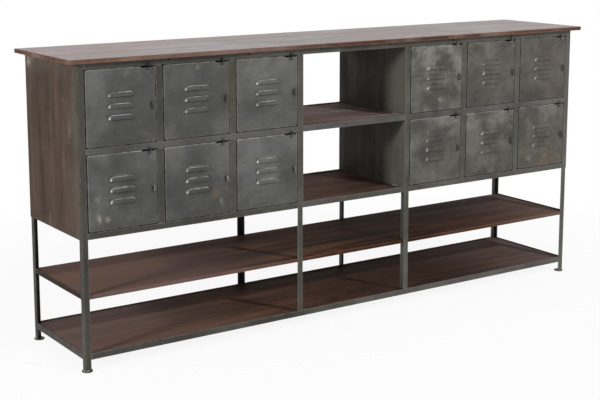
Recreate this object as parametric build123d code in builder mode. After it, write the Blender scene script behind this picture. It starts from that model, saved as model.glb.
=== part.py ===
"""Industrial sideboard buffet: an angle-iron frame with steel cladding, wooden boards and twelve locker doors.

Millimetres, +Z up, front towards -Y, origin on the floor under the middle of the top.
"""
import os

from build123d import *

os.makedirs("parts", exist_ok=True)

# Plank top
top_length = 2000.0
top_depth = 400.0
top_thickness = 13.0
total_height = 912.0
end_overhang = 33.5
front_overhang = 22.0
back_overhang = 7.0
plank_count = 3
plank_joint = 0.5
plank_edge_round = 1.5

# Angle-iron frame
flange = 19.0
iron = 3.0
bay_width = 760.0
cabinet_bottom = 392.0
bottom_shelf_bottom = 36.0
foot_diameter = 32.0
foot_thickness = 4.0
foot_chamfer = 1.5
mullion_width = 22.0
shelf_bar_height = 16.0
bearer_width = 19.0

# Boards and panels
board_thickness = 12.0
panel_sheet = 2.0
divider_thickness = 12.0
back_panel_thickness = 6.0
lower_shelf_bottom = 215.5
board_clearance = 0.5

# Lockers
columns = 3
rows = 2
hinge_gap = 3.0
door_gap = 1.5
door_depth = 12.0
sheet = 1.2
door_corner_radius = 6.0

# Door louvres
louvre_count = 3
louvre_straight = 70.0
louvre_height = 14.0
louvre_depth = 6.5
louvre_pitch = 33.0
louvre_drop = 107.0
louvre_belly = 0.78

# Door pivots
pivot_inset = 10.0
pivot_depth = 7.0
pin_diameter = 5.0
pin_clearance = 0.3
pin_reach = 2.5
collar_diameter = 9.0
collar_clearance = 0.3
lug_width = 14.0
lug_depth = 9.0
lug_thickness = 3.0

# Door pull
pull_height = 22.0
pull_stand = 9.0
pull_rod = 4.5
pull_bend = 4.5
pull_inset = 12.0
pull_drop = 114.0

# Padlock eye, staple and the notch between them
notch_width = 42.0
notch_depth = 3.5
notch_inset = 26.0
eye_inset = 25.0
eye_height = 24.0
eye_reach = 10.0
eye_wall = 2.2
eye_thickness = 2.2
eye_stand = 1.0
eye_tab_height = 7.5
eye_rise = 1.0
staple_gap = 1.0
staple_clearance = 0.8
staple_radius = 4.5
staple_hole = 2.2
staple_depth = 12.0

# Door catches
catch_height = 40.0
catch_depth = 14.0
catch_reach = 8.0
catch_clearance = 0.3

# Screws of the top
screw_count = 6
screw_pitch = 270.0
screw_diameter = 6.5
screw_head = 2.0
screw_drop = 6.0

# Places worked out from the sizes above
right = Vector(1, 0, 0)
back = Vector(0, 1, 0)
up = Vector(0, 0, 1)
left = -right
front = -back
down = -up

frame_right = top_length / 2 - end_overhang
frame_left = -frame_right
frame_front = front_overhang - top_depth / 2
frame_back = top_depth / 2 - back_overhang
top_underside = total_height - top_thickness
niche_right = frame_right - bay_width
niche_left = -niche_right

opening_width = (bay_width - 2 * flange - (columns - 1) * mullion_width) / columns
opening_height = (top_underside - cabinet_bottom - (rows + 1) * flange) / rows
column_pitch = opening_width + mullion_width
row_pitch = opening_height + flange
middle_rail_bottom = cabinet_bottom + row_pitch
rail_bottoms = [cabinet_bottom, middle_rail_bottom]
board_bottoms = [bottom + iron for bottom in rail_bottoms]
cell_tops = [middle_rail_bottom, top_underside - iron]
opening_bottoms = [bottom + flange for bottom in rail_bottoms]
bay_starts = [frame_left + flange, niche_right + flange]
opening_lefts = [start + column * column_pitch for start in bay_starts for column in range(columns)]

door_width = opening_width - hinge_gap - door_gap
door_height = opening_height - 2 * door_gap
pivot_y = frame_front + pivot_depth
inner_front = frame_front + iron
inner_back = frame_back - iron
panel_front = inner_back - back_panel_thickness
lug_back = inner_front + lug_depth

# The three runs of a rail, the two bays between their posts, and the niche between its steel sheets
niche_inside = (niche_left + panel_sheet, niche_right - panel_sheet)
rail_runs = [
    (frame_left + flange, niche_left - flange),
    niche_inside,
    (niche_right + flange, frame_right - flange),
]
bay_insides = [
    (frame_left + iron, niche_left - iron),
    (niche_right + iron, frame_right - iron),
]
post_ends = [(frame_left, right), (frame_right, left)]
middle_ends = [(niche_left, left), (niche_right, right)]


def save(builder, name):
    """Label a finished piece and write it as one file."""
    builder.part.label = name
    export_step(builder.part, f"parts/{name}.step")


def angle_iron(corner, along, leg_one, leg_two, length):
    """Add an L bar whose outer corner runs from `corner` along `along`, with a flange on each leg."""
    swapped = along.cross(leg_one).dot(leg_two) < 0
    profile_plane = Plane(corner, x_dir=leg_two if swapped else leg_one, z_dir=along)
    with BuildSketch(profile_plane) as profile:
        with BuildLine():
            Polyline((0, 0), (flange, 0), (flange, iron), (iron, iron), (iron, flange), (0, flange), close=True)
        make_face()
    extrude(profile.sketch, amount=length)


def slab(x_span, y_span, z_span, mode=Mode.ADD):
    """Add, or cut away, a rectangular board between two corners."""
    with Locations((x_span[0], y_span[0], z_span[0])):
        Box(
            x_span[1] - x_span[0],
            y_span[1] - y_span[0],
            z_span[1] - z_span[0],
            align=(Align.MIN, Align.MIN, Align.MIN),
            mode=mode,
        )


def facing_front(x, y, z):
    """Give a plane that faces the front, with its own Y pointing up."""
    return Plane((x, y, z), x_dir=(1, 0, 0), z_dir=(0, -1, 0))


def facing_side(x, y, z):
    """Give a plane across the sideboard, with its own X pointing up and its Y pointing to the front."""
    return Plane((x, y, z), x_dir=(0, 0, 1), z_dir=(1, 0, 0))


# Plank top
plank_width = (top_depth - (plank_count - 1) * plank_joint) / plank_count

with BuildPart() as top_planks:
    with BuildSketch(Plane.XY.offset(top_underside)):
        with GridLocations(0, plank_width + plank_joint, 1, plank_count):
            Rectangle(top_length, plank_width)
    extrude(amount=top_thickness)
    upper_edges = top_planks.edges().group_by(Axis.Z)[-1]
    outer_edges = upper_edges.group_by(Axis.Y)[0] + upper_edges.group_by(Axis.Y)[-1]
    fillet(outer_edges + upper_edges.filter_by(Axis.Y), radius=plank_edge_round)

save(top_planks, "top_planks")

# Posts: four corner posts on feet, four middle posts that stand on the bottom shelf's long rails
post_rows = [("front", frame_front, back), ("back", frame_back, front)]
corner_bottom = foot_thickness
middle_bottom = bottom_shelf_bottom + flange

for row_name, row_y, inward in post_rows:
    for side_name, (corner_x, leg) in zip(("left", "right"), post_ends):
        with BuildPart() as corner_post:
            angle_iron((corner_x, row_y, corner_bottom), up, leg, inward, top_underside - corner_bottom)
        save(corner_post, f"corner_post_{row_name}_{side_name}")

    for side_name, (corner_x, leg) in zip(("left", "right"), middle_ends):
        with BuildPart() as middle_post:
            angle_iron((corner_x, row_y, middle_bottom), up, leg, inward, top_underside - middle_bottom)
        save(middle_post, f"middle_post_{row_name}_{side_name}")

# Feet: one round plate under each corner post
foot_pitch_x = frame_right - frame_left - flange
foot_pitch_y = frame_back - frame_front - flange
foot_middle_y = (frame_front + frame_back) / 2

with BuildPart() as feet:
    with BuildSketch(Plane((0, foot_middle_y, 0))):
        with GridLocations(foot_pitch_x, foot_pitch_y, 2, 2):
            Circle(foot_diameter / 2)
    extrude(amount=foot_thickness)
    chamfer(feet.edges().group_by(Axis.Z)[-1], length=foot_chamfer)

save(feet, "feet")

# Rails of the cabinet: under the top, between the two rows of doors, and under the lower row
for row_name, row_y, inward in post_rows:
    with BuildPart() as top_rails:
        for start, end in rail_runs:
            angle_iron((start, row_y, top_underside), right, inward, down, end - start)
    save(top_rails, f"{row_name}_top_rails")

    with BuildPart() as bottom_rails:
        for start, end in rail_runs:
            angle_iron((start, row_y, cabinet_bottom), right, inward, up, end - start)
    save(bottom_rails, f"{row_name}_bottom_rails")

with BuildPart() as back_middle_rails:
    for start, end in rail_runs:
        angle_iron((start, frame_back, middle_rail_bottom), right, front, up, end - start)

save(back_middle_rails, "back_middle_rails")

# The front middle rail is drilled for the upper pins of the lower doors
pin_hole_radius = pin_diameter / 2 + pin_clearance
pivot_xs = [opening_left + hinge_gap + pivot_inset for opening_left in opening_lefts]

with BuildPart() as front_middle_rails:
    for start, end in rail_runs:
        angle_iron((start, frame_front, middle_rail_bottom), right, back, up, end - start)
    with Locations([(pivot_x, pivot_y, middle_rail_bottom) for pivot_x in pivot_xs]):
        Cylinder(pin_hole_radius, 2 * iron, mode=Mode.SUBTRACT)

save(front_middle_rails, "front_middle_rails")

with BuildPart() as side_top_rails:
    for corner_x, leg in post_ends:
        corner = (corner_x, frame_front + flange, top_underside)
        angle_iron(corner, back, leg, down, frame_back - frame_front - 2 * flange)

save(side_top_rails, "side_top_rails")

# Flat mullions between the doors
with BuildPart() as door_mullions:
    for start in bay_starts:
        for column in range(columns - 1):
            mullion_left = start + opening_width + column * column_pitch
            for opening_bottom in opening_bottoms:
                slab(
                    (mullion_left, mullion_left + mullion_width),
                    (frame_front, inner_front),
                    (opening_bottom, opening_bottom + opening_height),
                )

save(door_mullions, "door_mullions")

# Bottom shelf: a tray of angle iron with two flat bearers between its long rails
side_rail_length = frame_back - frame_front - 2 * flange
long_rail_length = frame_right - frame_left - 2 * flange
bearer_span_y = (frame_front + flange, frame_back - flange)
bearer_spans_x = [(niche_left - bearer_width, niche_left), (niche_right, niche_right + bearer_width)]

for row_name, row_y, inward in post_rows:
    with BuildPart() as long_rail:
        corner = (frame_left + flange, row_y, bottom_shelf_bottom)
        angle_iron(corner, right, inward, up, long_rail_length)
    save(long_rail, f"bottom_shelf_{row_name}_rail")

with BuildPart() as bottom_shelf_cross_rails:
    for corner_x, leg in post_ends:
        angle_iron((corner_x, frame_front + flange, bottom_shelf_bottom), back, leg, up, side_rail_length)
    for span_x in bearer_spans_x:
        slab(span_x, bearer_span_y, (bottom_shelf_bottom, bottom_shelf_bottom + iron))

save(bottom_shelf_cross_rails, "bottom_shelf_cross_rails")

with BuildPart() as bottom_shelf_board:
    board_bottom = bottom_shelf_bottom + iron
    slab(
        (frame_left + iron, frame_right - iron),
        (inner_front, inner_back),
        (board_bottom, board_bottom + board_thickness),
    )

save(bottom_shelf_board, "bottom_shelf_board")

# Lower shelf: a bare board on flat end bars and bearers, notched round the middle posts
lower_shelf_top = lower_shelf_bottom + board_thickness

with BuildPart() as lower_shelf_bars:
    for span_x in [(frame_left, frame_left + iron), (frame_right - iron, frame_right)]:
        slab(span_x, bearer_span_y, (lower_shelf_bottom, lower_shelf_bottom + shelf_bar_height))
    for span_x in bearer_spans_x:
        slab(span_x, bearer_span_y, (lower_shelf_bottom - iron, lower_shelf_bottom))

save(lower_shelf_bars, "lower_shelf_bars")

with BuildPart() as lower_shelf_board:
    with BuildSketch(Plane((0, (inner_front + inner_back) / 2, lower_shelf_bottom))):
        Rectangle(frame_right - frame_left - 2 * iron, inner_back - inner_front)
        notch_length = 2 * (flange - iron + board_clearance)
        with GridLocations(2 * niche_right + iron, inner_back - inner_front, 2, 2):
            Rectangle(iron + 2 * board_clearance, notch_length, mode=Mode.SUBTRACT)
    extrude(amount=board_thickness)

save(lower_shelf_board, "lower_shelf_board")

# Steel sheets over the posts: the ends of the cabinet and the two sides of the open niche
sheet_spans = {
    "side_panel_left": (frame_left - panel_sheet, frame_left),
    "side_panel_right": (frame_right, frame_right + panel_sheet),
    "niche_wall_left": (niche_left, niche_left + panel_sheet),
    "niche_wall_right": (niche_right - panel_sheet, niche_right),
}

for sheet_name, span_x in sheet_spans.items():
    with BuildPart() as cladding:
        slab(span_x, (frame_front, frame_back), (cabinet_bottom, top_underside))
    save(cladding, sheet_name)

# Niche shelf and niche floor between the sheets
with BuildPart() as niche_shelves:
    for board_bottom in board_bottoms:
        slab(niche_inside, (inner_front, inner_back), (board_bottom, board_bottom + board_thickness))

save(niche_shelves, "niche_shelves")


# Floors of the lockers, relieved where a pivot lug stands behind the rail
def lug_spans(pivot_x, opening_bottom, margin):
    """Give the box of a lower pivot lug, grown by a margin on its free sides."""
    span_x = (pivot_x - lug_width / 2 - margin, pivot_x + lug_width / 2 + margin)
    span_y = (inner_front, lug_back + margin)
    span_z = (opening_bottom - lug_thickness - margin, opening_bottom + margin)
    return span_x, span_y, span_z


with BuildPart() as locker_floors:
    for span_x in bay_insides:
        for board_bottom in board_bottoms:
            slab(span_x, (inner_front, inner_back), (board_bottom, board_bottom + board_thickness))
    for pivot_x in pivot_xs:
        for opening_bottom in opening_bottoms:
            slab(*lug_spans(pivot_x, opening_bottom, board_clearance), mode=Mode.SUBTRACT)

save(locker_floors, "locker_floors")

# Upright dividers between the lockers, and their back panels
with BuildPart() as locker_dividers:
    for start in bay_starts:
        for column in range(columns - 1):
            divider_middle = start + opening_width + column * column_pitch + mullion_width / 2
            for board_bottom, cell_top in zip(board_bottoms, cell_tops):
                slab(
                    (divider_middle - divider_thickness / 2, divider_middle + divider_thickness / 2),
                    (inner_front, panel_front),
                    (board_bottom + board_thickness, cell_top),
                )

save(locker_dividers, "locker_dividers")

with BuildPart() as back_panels:
    for span_x in bay_insides:
        for board_bottom, cell_top in zip(board_bottoms, cell_tops):
            slab(span_x, (panel_front, inner_back), (board_bottom + board_thickness, cell_top))

save(back_panels, "back_panels")


# Pivot lugs behind the rails: below every door, and above the doors of the upper row
with BuildPart() as pivot_lugs:
    for pivot_x in pivot_xs:
        lug_levels = opening_bottoms + [opening_bottoms[-1] + opening_height + lug_thickness]
        for level in lug_levels:
            slab(*lug_spans(pivot_x, level, 0))
            with Locations((pivot_x, pivot_y, level - lug_thickness / 2)):
                Cylinder(pin_hole_radius, 2 * lug_thickness, mode=Mode.SUBTRACT)

save(pivot_lugs, "pivot_lugs")

# Catches that the closed doors rest against, on the divider or the post at the right of each locker
divider_reveal = (mullion_width - divider_thickness) / 2
post_reveal = flange - iron
reveals = 2 * ([divider_reveal] * (columns - 1) + [post_reveal])
catch_front = frame_front + door_depth + catch_clearance

with BuildPart() as door_catches:
    for opening_left, reveal in zip(opening_lefts, reveals):
        opening_right = opening_left + opening_width
        for opening_bottom in opening_bottoms:
            catch_bottom = opening_bottom + (opening_height - catch_height) / 2
            slab(
                (opening_right - catch_reach, opening_right + reveal),
                (catch_front, catch_front + catch_depth),
                (catch_bottom, catch_bottom + catch_height),
            )

save(door_catches, "door_catches")

# Padlock staples: each is welded under a rail, passes through the door's notch and rises in front of the rail
door_top_drop = door_gap
staple_rise = staple_radius + staple_clearance - notch_depth

with BuildPart() as padlock_staples:
    for opening_left in opening_lefts:
        eye_x = opening_left + opening_width - door_gap - eye_inset
        staple_x = eye_x + eye_thickness / 2 + staple_gap
        for opening_bottom in opening_bottoms:
            opening_top = opening_bottom + opening_height
            head_middle = (opening_top - door_top_drop + staple_rise, eye_stand + eye_reach / 2)
            bar_bottom = opening_top - door_top_drop - notch_depth + staple_clearance
            with BuildSketch(facing_side(staple_x, frame_front, 0)):
                with Locations(head_middle):
                    Circle(staple_radius)
                with BuildLine():
                    Polyline(
                        (bar_bottom, head_middle[1]),
                        (opening_top, head_middle[1]),
                        (opening_top, -staple_depth),
                        (bar_bottom, -staple_depth),
                        close=True,
                    )
                make_face()
                with Locations(head_middle):
                    Circle(staple_hole, mode=Mode.SUBTRACT)
            extrude(amount=eye_thickness)

save(padlock_staples, "padlock_staples")

# Screws that hold the top rail to the planks
with BuildPart() as top_screws:
    with BuildSketch(facing_front(0, frame_front, top_underside - screw_drop)):
        with GridLocations(screw_pitch, 0, screw_count, 1):
            Circle(screw_diameter / 2)
    extrude(amount=screw_head)
    fillet(top_screws.edges().group_by(Axis.Y)[0], radius=screw_head / 2)

save(top_screws, "top_screws")


# Locker doors
def louvre_profile(plane, height, depth):
    """Draw the section of a louvre: flush at its top, proud at its open lower edge."""
    with BuildSketch(plane) as profile:
        with BuildLine():
            hood = ThreePointArc((height, 0), (height / 2, depth * louvre_belly), (0, depth))
            Polyline(hood @ 1, (0, 0), hood @ 0)
        make_face()
    return profile.sketch


def press_louvre(middle_x, bottom_z):
    """Raise one louvre with rounded ends from the door's sheet and open it below."""
    start_x = middle_x - louvre_straight / 2
    end_x = middle_x + louvre_straight / 2
    start_plane = facing_side(start_x, frame_front, bottom_z)
    end_plane = facing_side(end_x, frame_front, bottom_z)
    hood_start = louvre_profile(start_plane, louvre_height, louvre_depth)
    hood_end = louvre_profile(end_plane, louvre_height, louvre_depth)
    extrude(hood_start, amount=louvre_straight)
    revolve(hood_start, axis=Axis(start_plane.origin, down), revolution_arc=90)
    revolve(hood_end, axis=Axis(end_plane.origin, up), revolution_arc=90)
    hollow_height = louvre_height - sheet
    hollow = louvre_profile(start_plane, hollow_height, louvre_depth - sheet)
    extrude(hollow, amount=louvre_straight, mode=Mode.SUBTRACT)
    slab(
        (start_x, end_x),
        (frame_front, frame_front + sheet),
        (bottom_z, bottom_z + hollow_height),
        mode=Mode.SUBTRACT,
    )


row_names = ["lower", "upper"]

for row_name, opening_bottom in zip(row_names, opening_bottoms):
    door_bottom = opening_bottom + door_gap
    door_top = door_bottom + door_height

    for number, opening_left in enumerate(opening_lefts, start=1):
        door_left = opening_left + hinge_gap
        door_right = door_left + door_width
        door_middle = (door_left + door_right) / 2
        pivot_x = door_left + pivot_inset

        # The sheet-steel pan with its returned edges, its notch and its louvres
        with BuildPart() as door_panel:
            with BuildSketch(facing_front(door_middle, frame_front, (door_bottom + door_top) / 2)):
                RectangleRounded(door_width, door_height, door_corner_radius)
            extrude(amount=-door_depth)
            with BuildSketch(facing_front(door_middle, frame_front + sheet, (door_bottom + door_top) / 2)):
                RectangleRounded(door_width - 2 * sheet, door_height - 2 * sheet, door_corner_radius - sheet)
            extrude(amount=-(door_depth - sheet), mode=Mode.SUBTRACT)
            notch_middle = door_right - notch_inset
            slab(
                (notch_middle - notch_width / 2, notch_middle + notch_width / 2),
                (frame_front, frame_front + door_depth),
                (door_top - notch_depth, door_top),
                mode=Mode.SUBTRACT,
            )
            for step in range(louvre_count):
                louvre_middle = door_top - louvre_drop + (step - (louvre_count - 1) / 2) * louvre_pitch
                press_louvre(door_middle, louvre_middle - louvre_height / 2)

        save(door_panel, f"door_{row_name}_{number}_panel")

        # The rod pull, the padlock eye and the two pivot pins
        with BuildPart() as door_fittings:
            pull_x = door_right - pull_inset
            pull_low = door_top - pull_drop - pull_height / 2 + pull_rod / 2
            pull_high = pull_low + pull_height - pull_rod
            rod_stand = pull_stand - pull_rod / 2
            with BuildLine():
                FilletPolyline(
                    (pull_x, frame_front, pull_low),
                    (pull_x, frame_front - rod_stand, pull_low),
                    (pull_x, frame_front - rod_stand, pull_high),
                    (pull_x, frame_front, pull_high),
                    radius=pull_bend,
                )
            with BuildSketch(facing_front(pull_x, frame_front, pull_low)):
                Circle(pull_rod / 2)
            sweep()

            eye_x = door_right - eye_inset
            eye_middle = (door_top - eye_rise, eye_stand + eye_reach / 2)
            tab_top = door_top - notch_depth
            with BuildSketch(facing_side(eye_x - eye_thickness / 2, frame_front, 0)):
                with Locations(eye_middle):
                    SlotOverall(eye_height, eye_reach)
                with Locations((tab_top, 0)):
                    Rectangle(eye_tab_height, eye_stand + eye_reach / 2, align=(Align.MAX, Align.MIN))
                with Locations(eye_middle):
                    SlotOverall(eye_height - 2 * eye_wall, eye_reach - 2 * eye_wall, mode=Mode.SUBTRACT)
            extrude(amount=eye_thickness)

            collar_height = door_gap - collar_clearance
            for door_edge, outwards in [(door_bottom, -1), (door_top, 1)]:
                with BuildSketch(Plane((pivot_x, pivot_y, door_edge))):
                    Circle(collar_diameter / 2)
                extrude(amount=outwards * collar_height)
                with BuildSketch(Plane((pivot_x, pivot_y, door_edge))):
                    Circle(pin_diameter / 2)
                extrude(amount=outwards * (door_gap + pin_reach))

        save(door_fittings, f"door_{row_name}_{number}_fittings")
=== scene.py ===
"""Looks of an industrial sideboard: patinated iron, steel cladding, brown boards and louvred locker doors."""

import logging
import math
from dataclasses import dataclass, field, replace
from enum import Enum
from typing import Callable, ClassVar, Sequence

import bmesh
import bpy
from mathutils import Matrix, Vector, noise


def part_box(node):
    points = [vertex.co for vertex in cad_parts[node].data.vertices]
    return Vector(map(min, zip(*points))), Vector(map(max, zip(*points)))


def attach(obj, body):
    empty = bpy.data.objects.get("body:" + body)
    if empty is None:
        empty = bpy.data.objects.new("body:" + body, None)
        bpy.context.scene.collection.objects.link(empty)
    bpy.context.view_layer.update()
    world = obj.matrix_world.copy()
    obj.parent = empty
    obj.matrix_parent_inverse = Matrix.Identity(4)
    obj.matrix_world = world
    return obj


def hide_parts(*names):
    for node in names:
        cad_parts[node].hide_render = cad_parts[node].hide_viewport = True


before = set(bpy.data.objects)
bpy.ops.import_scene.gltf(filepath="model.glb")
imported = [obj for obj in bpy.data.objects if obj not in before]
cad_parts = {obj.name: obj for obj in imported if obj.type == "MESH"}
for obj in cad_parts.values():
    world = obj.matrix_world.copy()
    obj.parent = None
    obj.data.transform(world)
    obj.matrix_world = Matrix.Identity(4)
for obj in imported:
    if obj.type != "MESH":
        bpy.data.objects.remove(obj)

LOG = logging.getLogger("sideboard")
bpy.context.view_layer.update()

FRAME_BODY = "frame"
SIDES = ("left", "right")
ROWS = ("front", "back")
RIGHT = Vector((1, 0, 0))
BACK = Vector((0, 1, 0))
UP = Vector((0, 0, 1))

# The middle of a texture's values, and the range that most of them lie in
MIDDLE = 0.5
TONE_LOW, TONE_HIGH = 0.36, 0.64
# The sockets of a mix node that mixes colours
MIX_AMOUNT, MIX_BELOW, MIX_ABOVE, MIX_RESULT = 0, 6, 7, 2
# The least part of a face's normal that makes it face a direction
FACING = 0.7
# The largest difference between two lengths that count as the same, in metres
NEAR = 1e-6
# The step along an arc, in degrees
ARC_STEP = 15
# The seed of the vector noise, which Blender otherwise takes from the clock
NOISE_SEED = 7

Colour = tuple[float, float, float, float]
Triple = tuple[float, float, float]
EdgePoint = tuple[Vector, float]
Ring = tuple[float, float, float]
Material = bpy.types.Material
Socket = bpy.types.NodeSocket


def paint(red: int, green: int, blue: int) -> Colour:
    """Turn a colour as seen on a screen, 0 to 255, into the linear colour that a shader takes.

    Args:
        red: The red level.
        green: The green level.
        blue: The blue level.

    Returns:
        The linear colour, with full opacity.
    """
    levels = [level / 255 for level in (red, green, blue)]
    linear = [v / 12.92 if v <= 0.04045 else ((v + 0.055) / 1.055) ** 2.4 for v in levels]
    return (linear[0], linear[1], linear[2], 1.0)


def box_of(node: str) -> tuple[Vector, Vector]:
    """Give a node's lowest and highest corners at rest."""
    low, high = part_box(node)
    return Vector(low), Vector(high)


class Grain(Enum):
    """The direction that a board's grain runs in."""

    LENGTHWISE = "lengthwise"
    UPRIGHT = "upright"


class Stain(Enum):
    """What a mark on a sheet is made of, or painted shade, by the name of its painted value."""

    PALE = "pale"
    RUST = "rust"
    PAINTED_SHADE = "soot"


@dataclass(frozen=True)
class Texture:
    """A noise texture: its repeats per metre, how it breaks up, and the values that its spots lie between."""

    scale: float | Triple
    detail: float = 4.0
    rough: float = 0.55
    twist: float = 0.0
    turn: Triple = (0.0, 0.0, 0.0)
    low: float = TONE_LOW
    high: float = TONE_HIGH


class NodeGraph:
    """A node tree of a material or of the world."""

    def __init__(self, owner: Material | bpy.types.World) -> None:
        """Start an empty tree.

        Args:
            owner: The material or the world that the tree belongs to.
        """
        owner.use_nodes = True
        self.owner = owner
        self.tree = owner.node_tree
        self.tree.nodes.clear()

    def add(
        self, kind: str, inputs: dict[str | int, object] | None = None, **settings: object
    ) -> bpy.types.Node:
        """Add a node.

        Args:
            kind: The node's type.
            inputs: What its input sockets are linked to or set to.
            **settings: Properties to set on it.

        Returns:
            The new node.
        """
        node = self.tree.nodes.new(kind)
        for key, value in settings.items():
            setattr(node, key, value)
        for key, value in (inputs or {}).items():
            self.feed(node.inputs[key], value)
        return node

    def feed(self, socket: Socket, value: object) -> None:
        """Link a socket to another, or set it to a constant.

        Args:
            socket: The input socket.
            value: An output socket or a constant.
        """
        if isinstance(value, Socket):
            self.tree.links.new(value, socket)
        else:
            socket.default_value = value

    def math(self, operation: str, first: object, second: object = 0.0) -> Socket:
        """Combine two values.

        Args:
            operation: The operation's name, such as ADD.
            first: A socket or a number.
            second: A socket or a number.

        Returns:
            The result.
        """
        return self.add("ShaderNodeMath", {0: first, 1: second}, operation=operation).outputs[0]

    def seen_directly(self) -> Socket:
        """Tell the rays that show the background from those that carry light.

        Returns:
            A value of 1 for camera, glossy and transmission rays.
        """
        rays = self.add("ShaderNodeLightPath").outputs
        seen = rays["Is Camera Ray"]
        for kind in ("Is Glossy Ray", "Is Transmission Ray"):
            seen = self.math("MAXIMUM", seen, rays[kind])
        return seen

    def mix_shaders(self, amount: Socket, first: bpy.types.Node, second: bpy.types.Node) -> bpy.types.Node:
        """Mix two shaders.

        Args:
            amount: How much of the second one shows.
            first: The first shader.
            second: The second shader.

        Returns:
            The mixed shader.
        """
        return self.add("ShaderNodeMixShader", {0: amount, 1: first.outputs[0], 2: second.outputs[0]})


class FinishGraph(NodeGraph):
    """A material's node tree, with short methods for the nodes that the finishes use."""

    def __init__(self, name: str) -> None:
        """Start an empty material.

        Args:
            name: The material's name.
        """
        super().__init__(bpy.data.materials.new(name))
        self.coords = self.add("ShaderNodeTexCoord").outputs["Object"]

    def shift(self, amount: Socket) -> None:
        """Move the coordinates of the textures that follow, by the same amount along each axis."""
        offset = self.add("ShaderNodeCombineXYZ", {axis: amount for axis in ("X", "Y", "Z")})
        moved = self.add("ShaderNodeVectorMath", {0: self.coords, 1: offset.outputs[0]}, operation="ADD")
        self.coords = moved.outputs[0]

    def noise(self, texture: Texture) -> Socket:
        """Add a noise texture.

        Args:
            texture: The texture.

        Returns:
            Its value, around the middle.
        """
        scale, vector = texture.scale, self.coords
        if isinstance(scale, tuple):
            mapped = {"Vector": self.coords, "Scale": scale, "Rotation": texture.turn}
            scale, vector = 1.0, self.add("ShaderNodeMapping", mapped).outputs["Vector"]
        node = self.add("ShaderNodeTexNoise", {
            "Vector": vector, "Scale": scale, "Detail": texture.detail,
            "Roughness": texture.rough, "Distortion": texture.twist,
        })
        return node.outputs["Fac"]

    def spots(self, texture: Texture, least: float = 0.0, most: float = 1.0) -> Socket:
        """Add a noise texture as soft spots.

        Args:
            texture: The texture.
            least: What it gives between the spots.
            most: What it gives inside them.

        Returns:
            The value.
        """
        return self.span(self.noise(texture), texture.low, texture.high, least, most)

    def painted(self, name: str) -> Socket:
        """Read a value that was painted on the mesh's points."""
        return self.add("ShaderNodeAttribute", attribute_name=name).outputs["Fac"]

    def along(self, axis: str) -> Socket:
        """Give one of the object's coordinates, X, Y or Z, in metres."""
        return self.add("ShaderNodeSeparateXYZ", {0: self.coords}).outputs[axis]

    def away(self, axis: str, middle: float) -> Socket:
        """Give how far a place lies from a middle along an axis, in metres."""
        return self.math("ABSOLUTE", self.math("SUBTRACT", self.along(axis), middle))

    def span(
        self, value: object, low: float, high: float, new_low: float = 0.0, new_high: float = 1.0
    ) -> Socket:
        """Map a value smoothly from one range to another, clamped.

        Args:
            value: The value.
            low: Start of its range.
            high: End of its range.
            new_low: What the start becomes.
            new_high: What the end becomes.

        Returns:
            The mapped value.
        """
        ends = {"From Min": low, "From Max": high, "To Min": new_low, "To Max": new_high}
        node = self.add("ShaderNodeMapRange", {"Value": value, **ends}, interpolation_type="SMOOTHSTEP")
        return node.outputs["Result"]

    def blend(self, weights: Sequence[tuple[Socket, float]]) -> Socket:
        """Add several values, each times its weight.

        Args:
            weights: Pairs of a value and its weight.

        Returns:
            The sum.
        """
        total: object = 0.0
        for value, weight in weights:
            total = self.math("ADD", total, self.math("MULTIPLY", value, weight))
        return total

    def shades(self, tone: Socket, colours: tuple[Colour, ...], spread: float, reach: float = 1.0) -> Socket:
        """Turn a tone into a colour.

        Args:
            tone: The tone, around the middle.
            colours: The dark, the middle and the light colour.
            spread: How far from the middle the dark colour is full.
            reach: How far the light colour is full, as a share of that.

        Returns:
            The colour.
        """
        node = self.add("ShaderNodeValToRGB", {0: tone})
        elements = node.color_ramp.elements
        ready = len(elements)
        positions = (MIDDLE - spread, MIDDLE, MIDDLE + reach * spread)
        for index, (position, colour) in enumerate(zip(positions, colours)):
            stop = elements[index] if index < ready else elements.new(position)
            stop.position = position
            stop.color = colour
        return node.outputs["Color"]

    def mix(self, amount: object, below: object, above: object) -> Socket:
        """Lay one colour over another.

        Args:
            amount: How much of the upper colour shows.
            below: The lower colour.
            above: The upper colour.

        Returns:
            The mixed colour.
        """
        sockets = {MIX_AMOUNT: amount, MIX_BELOW: below, MIX_ABOVE: above}
        return self.add("ShaderNodeMix", sockets, data_type="RGBA").outputs[MIX_RESULT]

    def marked(self, below: object, name: str, broken: Socket, above: Colour) -> Socket:
        """Lay a colour where the mesh is painted, broken up by a texture.

        Args:
            below: The lower colour.
            name: The painted value.
            broken: The texture.
            above: The colour of the marks.

        Returns:
            The mixed colour.
        """
        return self.mix(self.math("MULTIPLY", self.painted(name), broken), below, above)

    def bump(self, height: Socket, depth: float) -> Socket:
        """Make a fine relief.

        Args:
            height: The relief, from 0 to 1.
            depth: Its depth in metres.

        Returns:
            The normal.
        """
        node = self.add("ShaderNodeBump", {"Strength": 1.0, "Distance": depth, "Height": height})
        return node.outputs["Normal"]

    def surface(self, colour: Socket, rough: Socket, metal: float, normal: Socket, gloss: float) -> Material:
        """Close the tree with a surface shader.

        Args:
            colour: The base colour.
            rough: The roughness.
            metal: How metallic it is.
            normal: The relief's normal.
            gloss: The level of the mirror-like part.

        Returns:
            The finished material.
        """
        shader = self.add("ShaderNodeBsdfPrincipled", {
            "Base Color": colour, "Roughness": rough, "Normal": normal,
            "Metallic": metal, "Specular IOR Level": gloss,
        })
        self.add("ShaderNodeOutputMaterial", {"Surface": shader.outputs[0]})
        return self.owner


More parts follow.
